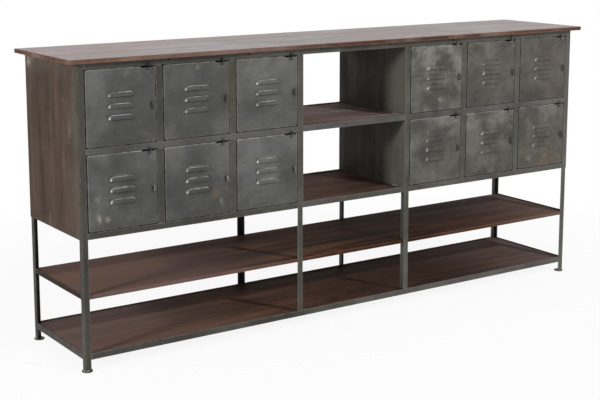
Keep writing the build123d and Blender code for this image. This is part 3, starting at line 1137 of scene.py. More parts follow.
@dataclass
class IronFrame:
    """Posts, rails, mullions and bars of angle and flat iron, with rounded edges and hand-worked faces."""

    finishes: Finishes
    iron: float = 0.003
    edge: float = 0.0011
    root: float = 0.0022
    toe_share: float = 0.4
    rub_fade: float = 0.002
    spacing: float = 0.05
    wobble: float = 0.00022
    wobbles: float = 23.0
    hinge_gap: float = 0.003
    mullion_width: float = 0.022
    foot_edge: float = 0.001
    foot_margin: float = 0.004
    foot_sides: int = 40

    def angle_outline(self, flange: float) -> Outline:
        """Give the section of an angle iron, with its outer corner at zero."""
        toe = self.iron * self.toe_share
        return Outline((
            Corner(0, 0, self.edge),
            Corner(flange, 0, toe),
            Corner(flange, self.iron, toe),
            Corner(self.iron, self.iron, self.root),
            Corner(self.iron, flange, toe),
            Corner(0, flange, toe),
        ))

    def hand_worked(self, place: Vector) -> tuple[Vector, float]:
        """Move a place a little, as hammer and grinder do, with no wear added."""
        return place + noise.noise_vector(place * self.wobbles) * self.wobble, 0.0

    def angle(
        self, shell: Shell, corner: Vector, legs: tuple[Vector, Vector], flange: float, length: float
    ) -> None:
        """Add an angle iron that runs from a corner along the cross product of its legs.

        Args:
            shell: The piece that it joins.
            corner: The outer corner at its start.
            legs: The directions of its two legs.
            flange: The width of a leg.
            length: Its length.
        """
        rings = bar_rings(length, self.edge, self.spacing)
        shell.loft(self.angle_outline(flange), Axes(corner, *legs), rings, self.hand_worked)

    def flat(self, shell: Shell, low: Sequence[float], high: Sequence[float]) -> None:
        """Add a flat bar between two corners, drawn out along its longest side.

        Args:
            shell: The piece that it joins.
            low: Its lowest corner.
            high: Its highest corner.
        """
        size = Vector(high) - Vector(low)
        axes = (RIGHT, BACK, UP)
        run = max(range(3), key=lambda axis: size[axis])
        first, second = (run + 1) % 3, (run + 2) % 3
        outline = rectangle(Vector((0, 0)), Vector((size[first], size[second])), self.edge, self.rub_fade)
        rings = bar_rings(size[run], self.edge, self.spacing)
        shell.loft(outline, Axes(Vector(low), axes[first], axes[second]), rings, self.hand_worked)

    def finish_piece(self, shell: Shell, node: str) -> None:
        """Turn a shell into the iron piece that stands for a node."""
        finishes = self.finishes
        # Lighter and darker copies of the iron stand for light and shade: painted light on the middle rails,
        # painted shade on the end rails and the back posts
        whole = {
            "front_middle_rails": finishes.lit_iron,
            "bottom_shelf_cross_rails": finishes.side_shade_iron,
            "lower_shelf_bars": finishes.bar_iron,
        }
        plain = finishes.back_shade_iron if "_post_back_" in node else finishes.iron
        piece = shell.piece(f"iron_{node}", whole.get(node, plain), "frame_iron", stands_for=[node])
        # Faces picked by the way they face take other copies: painted shade on the left faces of the left
        # corner posts and on the front face of the right middle back post, and the plain, lighter iron as
        # painted light on the front faces of the right back corner post
        if node in ("corner_post_front_left", "corner_post_back_left"):
            dress_faces(piece, finishes.side_shade_iron, lambda face: face.normal.x < -FACING)
        elif node == "corner_post_back_right":
            dress_faces(piece, finishes.iron, lambda face: face.normal.y < -FACING)
        elif node == "middle_post_back_right":
            dress_faces(piece, finishes.deep_shade_iron, lambda face: face.normal.y < -FACING)

    def build_post(self, node: str, outer_left: bool, in_front: bool) -> None:
        """Build a post.

        Args:
            node: Its name.
            outer_left: Whether its corner is at its left.
            in_front: Whether its corner is in front.
        """
        low, high = box_of(node)
        corner = Vector((low.x if outer_left else high.x, low.y if in_front else high.y, low.z))
        leg_x = RIGHT if outer_left else -RIGHT
        leg_y = BACK if in_front else -BACK
        legs = (leg_x, leg_y) if leg_x.cross(leg_y).z > 0 else (leg_y, leg_x)
        shell = Shell()
        self.angle(shell, corner, legs, high.x - low.x, high.z - low.z)
        self.finish_piece(shell, node)

    def build_posts(self) -> None:
        """Build the four corner posts and the four middle posts."""
        for row in ROWS:
            for side in SIDES:
                self.build_post(f"corner_post_{row}_{side}", side == "left", row == "front")
                self.build_post(f"middle_post_{row}_{side}", side == "right", row == "front")

    def rail_runs(self, row: str) -> list[tuple[float, float]]:
        """Give the spans between the posts of a row.

        Args:
            row: The row of posts.

        Returns:
            The three spans along the length.
        """
        start = box_of(f"corner_post_{row}_left")[1].x
        left_bay = (start, box_of(f"middle_post_{row}_left")[0].x)
        niche = (box_of("niche_wall_left")[1].x, box_of("niche_wall_right")[0].x)
        end = box_of(f"corner_post_{row}_right")[0].x
        right_bay = (box_of(f"middle_post_{row}_right")[1].x, end)
        return [left_bay, niche, right_bay]

    def long_rail(self, shell: Shell, node: str, run: tuple[float, float], upright: Vector) -> None:
        """Add a rail that runs to the right, along the front or the back.

        Args:
            shell: The piece that it joins.
            node: The node that gives its height and depth.
            run: Its ends.
            upright: The direction of its upright leg.
        """
        low, high = box_of(node)
        in_front = node.startswith("front") or "_front_" in node
        corner = Vector((run[0], low.y if in_front else high.y, low.z if upright.z > 0 else high.z))
        inward = BACK if in_front else -BACK
        legs = (upright, inward) if inward.cross(upright).x < 0 else (inward, upright)
        self.angle(shell, corner, legs, high.z - low.z, run[1] - run[0])

    def build_rails(self) -> None:
        """Build the long rails of the cabinet and of the bottom shelf."""
        for row in ROWS:
            for level, upright in (("top", -UP), ("middle", UP), ("bottom", UP)):
                node = f"{row}_{level}_rails"
                shell = Shell()
                for run in self.rail_runs(row):
                    self.long_rail(shell, node, run, upright)
                self.finish_piece(shell, node)
            node = f"bottom_shelf_{row}_rail"
            low, high = box_of(node)
            shell = Shell()
            self.long_rail(shell, node, (low.x, high.x), UP)
            self.finish_piece(shell, node)

    def build_side_rails(self) -> None:
        """Build the rails that run from front to back at both ends, and the flat bars under the shelves."""
        for node, upright in (("side_top_rails", -UP), ("bottom_shelf_cross_rails", UP)):
            low, high = box_of(node)
            flange = high.z - low.z
            height = low.z if upright.z > 0 else high.z
            shell = Shell()
            for edge_x, leg in ((low.x, RIGHT), (high.x, -RIGHT)):
                legs = (leg, upright) if leg.cross(upright).y > 0 else (upright, leg)
                self.angle(shell, Vector((edge_x, low.y, height)), legs, flange, high.y - low.y)
            if node == "bottom_shelf_cross_rails":
                for start, end in self.bearer_spans():
                    self.flat(shell, (start, low.y, low.z), (end, high.y, low.z + self.iron))
            self.finish_piece(shell, node)

        node = "lower_shelf_bars"
        low, high = box_of(node)
        shelf_bottom = box_of("lower_shelf_board")[0].z
        shell = Shell()
        for start in (low.x, high.x - self.iron):
            self.flat(shell, (start, low.y, shelf_bottom), (start + self.iron, high.y, high.z))
        for start, end in self.bearer_spans():
            self.flat(shell, (start, low.y, low.z), (end, high.y, shelf_bottom))
        self.finish_piece(shell, node)

    def bearer_spans(self) -> list[tuple[float, float]]:
        """Give the spans of the bearers, which lie under the middle posts."""
        posts = [box_of(f"middle_post_front_{side}") for side in SIDES]
        return [(low.x, high.x) for low, high in posts]

    def build_mullions(self, doors: Sequence[str]) -> None:
        """Build the flat mullions between neighbouring doors.

        Args:
            doors: The names of the doors, row by row from left to right.
        """
        node = "door_mullions"
        low, high = box_of(node)
        rail_low, rail_high = box_of("front_middle_rails")
        shell = Shell()
        for left, door in zip(doors, doors[1:]):
            right = box_of(f"{door}_panel")[0].x - self.hinge_gap
            if not 0 < right - box_of(f"{left}_panel")[1].x < 2 * self.mullion_width:
                continue
            upper = "upper" in door
            bottom = rail_high.z if upper else low.z
            top = high.z if upper else rail_low.z
            self.flat(shell, (right - self.mullion_width, low.y, bottom), (right, high.y, top))
        self.finish_piece(shell, node)

    def build_feet(self) -> None:
        """Build the round foot plates, with a rounded rim."""
        node = "feet"
        low, high = box_of(node)
        post_low, post_high = box_of("corner_post_front_left")
        radius = (post_low.x + post_high.x) / 2 - low.x
        rings = board_rings(high.z - low.z, self.foot_edge, self.foot_margin)
        shell = Shell()
        for x in (low.x + radius, high.x - radius):
            for y in (low.y + radius, high.y - radius):
                axes = Axes(Vector((x, y, low.z)), RIGHT, BACK)
                shell.loft(circle(radius, self.foot_sides), axes, rings)
        self.finish_piece(shell, node)

    def build(self, doors: Sequence[str]) -> None:
        """Build every piece of iron.

        Args:
            doors: The names of the doors, which place the mullions.
        """
        self.build_posts()
        self.build_rails()
        self.build_side_rails()
        self.build_mullions(doors)
        self.build_feet()


@dataclass
class Boards:
    """The wooden top and shelves, as boards with rounded and worn edges."""

    NICK_SEED: ClassVar[float] = 4.0
    SWAY_SEED: ClassVar[float] = 9.0

    finishes: Finishes
    plank_count: int = 3
    plank_joint: float = 0.0005
    plank_step: float = 0.012
    plank_grain: float = 0.37
    top_edge: float = 0.0016
    top_corner: float = 0.002
    top_margin: float = 0.005
    top_facing: float = 0.97
    top_sharp: float = 20.0
    waver: float = 0.0007
    wavers: float = 5.0
    nick: float = 0.0011
    nicks: float = 31.0
    nick_floor: float = 0.2
    used_reach: float = 0.008
    rub_fade: float = 0.004
    iron: float = 0.003
    notch_clearance: float = 0.0005
    corner: float = 0.001
    shelf_margin: float = 0.0022
    lower_edge: float = 0.0012
    lower_grain: float = 1.3
    bottom_edge: float = 0.001
    bottom_grain: float = 2.1
    niche_edge: float = 0.0008
    niche_margin: float = 0.002
    niche_grains: tuple[float, float] = (3.2, 3.9)
    # How much painted sheen each niche board has
    niche_sheens: tuple[float, float] = (0.15, 0.0)

    def build_top(self) -> None:
        """Build the planks of the top, whose outer edges waver and are nicked by use."""
        node = "top_planks"
        low, high = box_of(node)
        width = (high.y - low.y - (self.plank_count - 1) * self.plank_joint) / self.plank_count
        middle = (low + high) / 2

        def used(place: Vector) -> tuple[Vector, float]:
            """Draw in a place near an outer edge, and give the wear there."""
            moved = place.copy()
            worn = 0.0
            spot = Vector((place.x * self.nicks, place.y * self.nicks, self.NICK_SEED))
            nick = max(0.0, noise.noise(spot) - self.nick_floor) * 2 * self.nick
            spot = Vector((place.x * self.wavers, place.y * self.wavers, self.SWAY_SEED))
            sway = (1 + noise.noise(spot)) / 2 * self.waver
            for axis in (0, 1):
                outward = 1 if place[axis] > middle[axis] else -1
                distance = high[axis] - place[axis] if outward > 0 else place[axis] - low[axis]
                near = max(0.0, 1 - distance / self.used_reach)
                moved[axis] -= outward * near * (nick + sway)
                worn = max(worn, near * nick / self.nick)
            return moved, worn

        shell = Shell()
        rings = board_rings(high.z - low.z, self.top_edge, self.top_margin)
        axes = Axes(Vector((0, 0, low.z)), RIGHT, BACK)
        for plank in range(self.plank_count):
            front = low.y + plank * (width + self.plank_joint)
            first, last = Vector((low.x, front)), Vector((high.x, front + width))
            outline = rectangle(first, last, self.top_corner, self.rub_fade, self.plank_step)
            shell.loft(outline, axes, rings, used, plank=self.plank_grain * plank)
        piece = shell.piece(
            "wood_top_planks", self.finishes.top, "top_wood", stands_for=[node], sharp=self.top_sharp
        )
        dress_faces(piece, self.finishes.top_edge, lambda face: face.normal.z < self.top_facing)

    def post_notches(self, front: float) -> list[Triple]:
        """Give the notches that let the middle posts' side legs pass a long shelf.

        Args:
            front: The shelf's front edge.

        Returns:
            Start, end and depth of each notch along the front edge, from left to right.
        """
        notches = []
        for side in SIDES:
            post_low, post_high = box_of(f"middle_post_front_{side}")
            start = post_high.x - self.iron if side == "left" else post_low.x
            depth = post_high.y - front + self.notch_clearance
            notches.append((start - self.notch_clearance, start + self.iron + self.notch_clearance, depth))
        return notches

    def build_long_shelves(self) -> None:
        """Build the lower shelf, notched round the middle posts, and the bottom shelf."""
        node = "lower_shelf_board"
        low, high = box_of(node)
        notches = self.post_notches(low.y)
        corners = [Corner(low.x, low.y, self.corner)]
        for start, end, depth in notches:
            corners += [Corner(start, low.y), Corner(start, low.y + depth)]
            corners += [Corner(end, low.y + depth), Corner(end, low.y)]
        corners += [Corner(high.x, low.y, self.corner), Corner(high.x, high.y, self.corner)]
        for start, end, depth in reversed(notches):
            corners += [Corner(end, high.y), Corner(end, high.y - depth)]
            corners += [Corner(start, high.y - depth), Corner(start, high.y)]
        corners.append(Corner(low.x, high.y, self.corner))
        outline = Outline(tuple(corners), self.rub_fade)
        self.lay(node, outline, self.finishes.shelf, self.lower_edge, self.lower_grain)

        node = "bottom_shelf_board"
        low, high = box_of(node)
        outline = rectangle(low.to_2d(), high.to_2d(), self.corner, self.rub_fade)
        self.lay(node, outline, self.finishes.low_shelf, self.bottom_edge, self.bottom_grain)

    def lay(self, node: str, outline: Outline, finish: Material, edge: float, grain: float) -> None:
        """Lay one board flat and make it the piece for a node.

        Args:
            node: The node that it stands for, which gives its height.
            outline: Its outline, seen from above.
            finish: Its finish.
            edge: The radius of its edges.
            grain: A number that gives it grain of its own.
        """
        low, high = box_of(node)
        shell = Shell()
        rings = board_rings(high.z - low.z, edge, self.shelf_margin)
        shell.loft(outline, Axes(Vector((0, 0, low.z)), RIGHT, BACK), rings, plank=grain)
        shell.piece(f"wood_{node}", finish, "shelf_wood", stands_for=[node])

    def build_niche_shelves(self) -> None:
        """Build the niche's floor and its shelf, which is paler: painted sheen."""
        node = "niche_shelves"
        low, high = box_of(node)
        shelf_low, shelf_high = box_of("lower_shelf_board")
        thickness = shelf_high.z - shelf_low.z
        outline = rectangle(low.to_2d(), high.to_2d(), self.corner, self.rub_fade)
        rings = board_rings(thickness, self.niche_edge, self.niche_margin)
        shell = Shell()
        bottoms = (low.z, high.z - thickness)
        for bottom, grain, pale in zip(bottoms, self.niche_grains, self.niche_sheens):
            axes = Axes(Vector((0, 0, bottom)), RIGHT, BACK)
            shell.loft(outline, axes, rings, plank=grain, pale=pale)
        piece = shell.piece("wood_niche_shelves", self.finishes.shelf, "shelf_wood", stands_for=[node])
        # The niche's upper shelf takes a lighter, greyer finish: painted sheen
        middle = (low.z + high.z) / 2
        dress_faces(piece, self.finishes.sheened_niche_shelf, lambda face: face.center.z > middle)

    def build(self) -> None:
        """Build every board that shows."""
        self.build_top()
        self.build_long_shelves()
        self.build_niche_shelves()


@dataclass(frozen=True)
class Mark:
    """A scuff, a stain or a spot of painted shade on a sheet: its place, its size, its slant and how strong
    it is.
    """

    kind: Stain
    x: float
    z: float
    wide: float
    tall: float
    slant: float = 0.0
    strength: float = 0.8

    def level(self, x: float, z: float) -> float:
        """Give how strong the mark is at a place on its sheet.

        Args:
            x: The place along the sheet.
            z: Its height.

        Returns:
            The strength there.
        """
        across, rise = x - self.x, z - self.z
        cos, sin = math.cos(self.slant), math.sin(self.slant)
        u = (across * cos + rise * sin) / self.wide
        v = (rise * cos - across * sin) / self.tall
        return self.strength * math.exp(-(u * u + v * v))


@dataclass
class Cladding:
    """The steel sheets over the posts at both ends and on both sides of the niche."""

    SWAYS: ClassVar[Triple] = (3.0, 6.0, 6.0)

    finishes: Finishes
    spacing: float = 0.012
    waver: float = 0.0004
    waver_rim: float = 0.05
    rub: float = 0.5
    rub_width: float = 0.004
    edge: float = 0.0005
    edge_steps: int = 2

    def build_sheet(self, node: str, material: Material, slot: str, marks: Sequence[Mark]) -> None:
        """Build one sheet, a little uneven, with its scratches.

        Args:
            node: The node that it stands for.
            material: Its finish.
            slot: The record's slot for that finish.
            marks: Scratches, placed by depth and height.
        """
        low, high = box_of(node)
        columns = max(1, round((high.y - low.y) / self.spacing))
        rows = max(1, round((high.z - low.z) / self.spacing))
        shell = Shell()
        grids = []
        for x in (low.x, high.x):
            grid = []
            for row in range(rows + 1):
                z = low.z + (high.z - low.z) * row / rows
                line = []
                for column in range(columns + 1):
                    y = low.y + (high.y - low.y) * column / columns
                    rim = min(y - low.y, high.y - y, z - low.z, high.z - z)
                    spot = Vector((x * self.SWAYS[0], y * self.SWAYS[1], z * self.SWAYS[2]))
                    sway = self.waver * min(1.0, rim / self.waver_rim) * noise.noise(spot)
                    wear = max(0.0, 1 - rim / self.rub_width) * self.rub
                    pale = min(1.0, sum(mark.level(y, z) for mark in marks))
                    line.append(shell.add_point(Vector((x + sway, y, z)), wear=wear, pale=pale))
                grid.append(line)
            grids.append(grid)
        for grid in grids:
            for lower, upper in zip(grid, grid[1:]):
                shell.join(lower, upper, ring=False)
        shell.join(*(grid_rim(grid) for grid in grids))
        piece = shell.piece(f"steel_{node}", material, slot, stands_for=[node])
        rounding = piece.modifiers.new("edges", "BEVEL")
        rounding.width = self.edge
        rounding.segments = self.edge_steps
        rounding.limit_method = "ANGLE"

    def build(self) -> None:
        """Build the four sheets."""
        for side in SIDES:
            self.build_sheet(f"side_panel_{side}", self.finishes.wall, "panel_steel", PANEL_MARKS)
            self.build_sheet(f"niche_wall_{side}", self.finishes.niche, "niche_steel", ())


def grid_rim(grid: list[list[int]]) -> list[int]:
    """Give the points round a grid, from its first row's start along that row.

    Args:
        grid: The rows of points.

    Returns:
        The rim: the first row, the right side, the last row and the left side.
    """
    right, left = [line[-1] for line in grid], [line[0] for line in grid]
    return grid[0][:-1] + right[:-1] + grid[-1][:0:-1] + left[:0:-1]


@dataclass
class LockerDoor:
    """A steel pan with rolled edges, three pressed louvres, shallow dents and a notch for its latch, with
    painted highlights on its louvres and top rim, painted sheen toward its top, and painted shade round its
    louvres, in its gaps and round its pull.
    """

    LIP_SLACK: ClassVar[float] = 1e-4
    SEEDS: ClassVar[tuple[float, float]] = (7.3, 3.1)

    name: str
    finish: Material
    marks: Sequence[Mark]
    # How strong the painted highlight along the louvre ridges is
    ridge_highlight: float = 1.0
    cast: float = 0.0
    depth: float = 0.012
    sheet: float = 0.0012
    roll: float = 0.0022
    corner: float = 0.006
    rim_lines: tuple[float, ...] = (0.0, 0.00025, 0.0006, 0.0011, 0.0036)
    edge_rows: tuple[float, ...] = (0.45, 1.0)
    spacing: float = 0.006
    louvre_count: int = 3
    louvre_pitch: float = 0.033
    louvre_drop: float = 0.107
    louvre_straight: float = 0.070
    louvre_height: float = 0.014
    louvre_depth: float = 0.0065
    louvre_rows: tuple[float, ...] = (0, 0.025, 0.3, 0.6, 0.845, 0.87, 0.905, 0.94, 0.965, 0.985, 1)
    shoulder: float = 0.87
    shoulder_depth: float = 0.93
    end_round: float = 0.006
    end_steps: int = 15
    end_bulge: float = 0.6
    slot_step: float = 0.0003
    notch_wide: float = 0.042
    notch_deep: float = 0.0035
    notch_inset: float = 0.026
    dent: float = 0.0005
    dent_rim: float = 0.03
    dents: float = 8.0
    fine_dent: float = 0.45
    fine_dents: float = 2.7
    # Painted highlights on the louvres, along the ridge and at the ends, strongest at the left end, and along
    # the top rim together with its wear; the other rims get wear only
    ridge_rise: float = 0.94
    ridge_width: float = 0.045
    tip_highlight: float = 1.2
    tip_highlight_drop: float = 0.7
    tip_fade: float = 0.6
    far_tip_highlight: float = 0.4
    top_rim_wear_and_highlight: float = 0.55
    rim_wear: float = 0.22
    rim_width: float = 0.0032
    # Painted shade on the louvres' ends and lower faces, and painted shadow just under their lips: how strong
    # it is and how far it reaches
    tip_soot: float = 0.45
    mouth_soot: float = 0.75
    lip_soot: float = 0.15
    shadow_drop: float = 0.004
    shadow_drops: tuple[float, ...] = (0.0015, 0.0028)
    face_shade_rise: float = 0.35
    # Painted shadow in the gaps round the door
    gap_soot: float = 0.9
    gap_width: float = 0.0011
    # Painted sheen, lighter toward the top of the door
    top_haze: float = 0.35
    haze_power: float = 2.2
    # A painted shadow round the pull: its place, its size and its strength
    pull_shade_inset: float = 0.013
    pull_shade_drop: float = 0.115
    pull_shade_wide: float = 0.006
    pull_shade_tall: float = 0.014
    hand_soot: float = 0.6
    low: Vector = field(init=False)
    high: Vector = field(init=False)
    front: float = field(init=False)
    centre: float = field(init=False)
    half_height: float = field(init=False)
    seed: float = field(init=False)
    pull_shadow: Mark = field(init=False)
    sills: list[float] = field(init=False)
    columns: list[float] = field(init=False)
    rows: list[float] = field(init=False)

    def __post_init__(self) -> None:
        """Take the door's place from its node, and lay out its louvres and its grid."""
        self.low, self.high = box_of(f"{self.name}_panel")
        self.front = self.high.y - self.depth
        self.centre = (self.low.x + self.high.x) / 2
        self.half_height = (self.low.z + self.high.z) / 2
        self.seed = self.SEEDS[0] * self.low.x + self.SEEDS[1] * self.low.z
        # A painted shadow round the pull
        self.pull_shadow = Mark(
            Stain.PAINTED_SHADE, self.high.x - self.pull_shade_inset, self.high.z - self.pull_shade_drop,
            self.pull_shade_wide, self.pull_shade_tall, strength=self.hand_soot,
        )
        first = self.high.z - self.louvre_drop - self.louvre_height / 2
        middle = (self.louvre_count - 1) / 2
        self.sills = [first + (step - middle) * self.louvre_pitch for step in range(self.louvre_count)]
        self.lay_out()

    @property
    def notch(self) -> tuple[float, float]:
        """The ends of the notch along the top edge."""
        middle = self.high.x - self.notch_inset
        return middle - self.notch_wide / 2, middle + self.notch_wide / 2

    def lay_out(self) -> None:
        """Place the grid's columns and rows."""
        reach = self.louvre_depth + self.end_round
        start = self.louvre_straight / 2 - self.end_round
        ends = [start + reach * part / self.end_steps for part in range(self.end_steps + 1)]
        at_ends = [self.centre + side * end for side in (-1, 1) for end in ends]
        self.columns = self.lines(self.low.x, self.high.x, at_ends + list(self.notch))

        drops = (self.slot_step, *self.shadow_drops, self.shadow_drop)
        on_louvres = [sill + self.louvre_height * rise for sill in self.sills for rise in self.louvre_rows]
        under_louvres = [sill - drop for sill in self.sills for drop in drops]
        at_notch = [self.high.z - self.notch_deep]
        self.rows = self.lines(self.low.z, self.high.z, on_louvres + under_louvres + at_notch)

    def lines(self, start: float, end: float, fixed: Sequence[float]) -> list[float]:
        """Give grid lines through fixed places and close to the edges, with even steps between them.

        Args:
            start: The lower edge.
            end: The upper edge.
            fixed: Places that need a line.

        Returns:
            The lines, in order.
        """
        insets = (*self.rim_lines, self.roll, self.corner)
        places = list(fixed) + [start + step for step in insets] + [end - step for step in insets]
        marks = sorted({round(place, 6) for place in places if start <= place <= end})
        rows = []
        for low, high in zip(marks, marks[1:]):
            parts = max(1, math.ceil((high - low) / self.spacing))
            rows += [low + (high - low) * part / parts for part in range(parts)]
        return rows + [marks[-1]]

    def profile(self, rise: float) -> float:
        """Give a louvre's depth at a height, both as shares: a slanting face under a rounded shoulder.

        Args:
            rise: The height above the lip.

        Returns:
            The depth, which is 1 at the lip.
        """
        if rise <= self.shoulder:
            return 1 - (1 - self.shoulder_depth) * rise / self.shoulder
        past = (rise - self.shoulder) / (1 - self.shoulder)
        return self.shoulder_depth * math.sqrt(max(0.0, 1 - past ** 2))

    def relief(self, x: float, z: float) -> tuple[float, float]:
        """Give how far the louvres stand out at a place, and how strong the painted highlight on them is
        there.

        Args:
            x: The place along the length.
            z: Its height.

        Returns:
            The height of the pressing and its painted highlight, laid on as wear.
        """
        beyond = abs(x - self.centre) - self.louvre_straight / 2
        if beyond >= self.louvre_depth:
            return 0.0, 0.0
        for sill in self.sills:
            rise = (z - sill) / self.louvre_height
            if -self.LIP_SLACK <= rise <= 1.0:
                rise = max(0.0, rise)
                reach = max(0.0, beyond + self.end_round * rise ** 2)
                crown = self.louvre_depth * self.profile(rise)
                if reach >= crown:
                    return 0.0, 0.0
                end = reach / self.louvre_depth
                # Painted highlight along the ridge and at the ends, strongest at the left end, laid on as
                # wear
                on_ridge = math.exp(-((rise - self.ridge_rise) / self.ridge_width) ** 2)
                lit_end = (self.tip_highlight - self.tip_highlight_drop * self.ridge_highlight) * end ** 2
                near_tip = lit_end * (1 - self.tip_fade * rise)
                tip = near_tip if x < self.centre else self.far_tip_highlight * end * rise
                height = crown * (1 - (reach / crown) ** 2) ** self.end_bulge
                return height, max(self.ridge_highlight * on_ridge * (1 - end), tip)
        return 0.0, 0.0

    def painted_shade_at(self, x: float, z: float) -> float:
        """Give how much painted shade lies at a place: on a louvre's end or lower face, as painted shadow
        just under its lip, and round the pull.

        Args:
            x: The place along the length.
            z: Its height.

        Returns:
            The painted shade, from 0 to 1.
        """
        reach = max(0.0, abs(x - self.centre) - self.louvre_straight / 2) / self.louvre_depth
        for sill in self.sills:
            drop = (sill - z) / self.shadow_drop
            rise = (z - sill) / (self.louvre_height * self.face_shade_rise)
            # Painted shade on a louvre's ends, stronger on doors with a strong ridge highlight
            if 0 < reach < 1 and 0 <= z - sill <= self.louvre_height:
                return self.tip_soot * reach * self.ridge_highlight
            # Painted shadow just under the lip, and painted shade on the lower part of the face
            if reach < 1 and drop < 1 and rise < 1:
                lip_shading = self.mouth_soot * (1 - drop) if drop > 0 else self.lip_soot * (1 - rise)
                return (1 - reach) * lip_shading
        return self.pull_shadow.level(x, z)

    def edge_distance(self, x: float, z: float) -> Triple:
        """Round a corner of the grid and measure how far a place is from the edge.

        Args:
            x: A place on the square grid.
            z: Its height.

        Returns:
            The rounded place and its distance from the edge.
        """
        on_left, below = x < self.centre, z < self.half_height
        near_x = self.low.x + self.corner if on_left else self.high.x - self.corner
        near_z = self.low.z + self.corner if below else self.high.z - self.corner
        out_x = (x - near_x) / self.corner * (-1 if on_left else 1)
        out_z = (z - near_z) / self.corner * (-1 if below else 1)
        if out_x <= 0 or out_z <= 0:
            return x, z, min(x - self.low.x, self.high.x - x, z - self.low.z, self.high.z - z)
        round_x = out_x * math.sqrt(1 - out_z * out_z / 2)
        round_z = out_z * math.sqrt(1 - out_x * out_x / 2)
        x = near_x + (x - near_x) * round_x / out_x
        z = near_z + (z - near_z) * round_z / out_z
        return x, z, self.corner * (1 - math.hypot(round_x, round_z))

    def surface(self, shell: Shell, x: float, z: float) -> int:
        """Add one point of the front sheet.

        Args:
            shell: The piece that it joins.
            x: Its place on the square grid.
            z: Its height.

        Returns:
            The point's number.
        """
        # The painted highlight on the louvres, and the painted shade round them and round the pull
        pressed, rubbed = self.relief(x, z)
        soot = self.painted_shade_at(x, z)
        x, z, distance = self.edge_distance(x, z)
        rolled = 0.0
        if distance < self.roll:
            rolled = self.roll - math.sqrt(max(0.0, self.roll ** 2 - (self.roll - distance) ** 2))
        spot = Vector((x * self.dents, z * self.dents, self.seed))
        dents = noise.noise(spot) + self.fine_dent * noise.noise(spot * self.fine_dents)
        dented = self.dent * dents * min(1.0, distance / self.dent_rim)

        # Wear along the rims, with a painted highlight added along the top rim
        on_top = z > self.high.z - 2 * self.roll
        rim = max(0.0, 1 - distance / self.rim_width)
        wear = max(rubbed, (self.top_rim_wear_and_highlight if on_top else self.rim_wear) * rim)
        # Painted shadow in the gaps along the sides and the bottom
        if not on_top:
            soot = max(soot, self.gap_soot * max(0.0, 1 - distance / self.gap_width))
        levels = {Stain.PALE.value: 0.0, Stain.RUST.value: 0.0}
        for mark in self.marks:
            kind = mark.kind.value
            levels[kind] = min(1.0, levels[kind] + mark.level(x, z))
        # The door's own clouding, with a painted sheen lighter toward its top
        upper = (z - self.low.z) / (self.high.z - self.low.z)
        haze = self.cast + self.top_haze * upper ** self.haze_power
        place = Vector((x, self.front - pressed + rolled + dented, z))
        return shell.add_point(place, wear=wear, haze=haze, soot=soot, **levels)

    def is_cut(self, column: int, row: int) -> bool:
        """Tell whether a cell of the grid is cut out by the notch."""
        start, end = self.notch
        middle = (self.columns[column] + self.columns[column + 1]) / 2
        return start < middle < end and self.rows[row] > self.high.z - self.notch_deep - NEAR

    def is_mouth(self, column: int, row: int) -> bool:
        """Tell whether a cell of the grid is the open mouth under a louvre's lip."""
        lip = self.rows[row + 1]
        middle = (self.columns[column] + self.columns[column + 1]) / 2
        under_lip = any(abs(lip - sill) < NEAR for sill in self.sills)
        return under_lip and self.relief(middle, lip)[0] > self.sheet

    def turn_back(self, shell: Shell, grid: list[list[int]]) -> None:
        """Turn the sheet's edges back, except along the notch.

        Args:
            shell: The piece.
            grid: The points of the front, row by row.
        """
        rim = grid_rim(grid)
        last_column, last_row = len(self.columns) - 1, len(self.rows) - 1
        edges = [rim]
        # The turned-back edges take painted shadow, as the gaps round the door do
        for setback in self.edge_rows:
            depth = self.front + self.roll + (self.depth - self.roll) * setback
            places = [Vector((shell.points[i].x, depth, shell.points[i].z)) for i in rim]
            edges.append([shell.add_point(place, soot=self.gap_soot) for place in places])
        top_start = last_column + last_row
        for outer, inner in zip(edges, edges[1:]):
            for index in range(len(rim)):
                column = last_column - (index - top_start) - 1
                on_top = top_start <= index < top_start + last_column
                if on_top and self.is_cut(column, last_row - 1):
                    continue
                after = (index + 1) % len(rim)
                shell.faces.append((outer[after], outer[index], inner[index], inner[after]))

    def build(self) -> None:
        """Build the sheet and its turned-back edges, and thicken it."""
        shell = Shell()
        grid = [[self.surface(shell, x, z) for x in self.columns] for z in self.rows]
        for row, (low, high) in enumerate(zip(grid, grid[1:])):
            for column in range(len(self.columns) - 1):
                if not self.is_cut(column, row) and not self.is_mouth(column, row):
                    shell.faces.append((low[column], low[column + 1], high[column + 1], high[column]))
        self.turn_back(shell, grid)
        piece = shell.piece(
            f"steel_{self.name}", self.finish, "door_steel", body=self.name,
            stands_for=[f"{self.name}_panel"], closed=False,
        )
        thick = piece.modifiers.new("sheet", "SOLIDIFY")
        thick.thickness = self.sheet
        thick.offset = -1.0


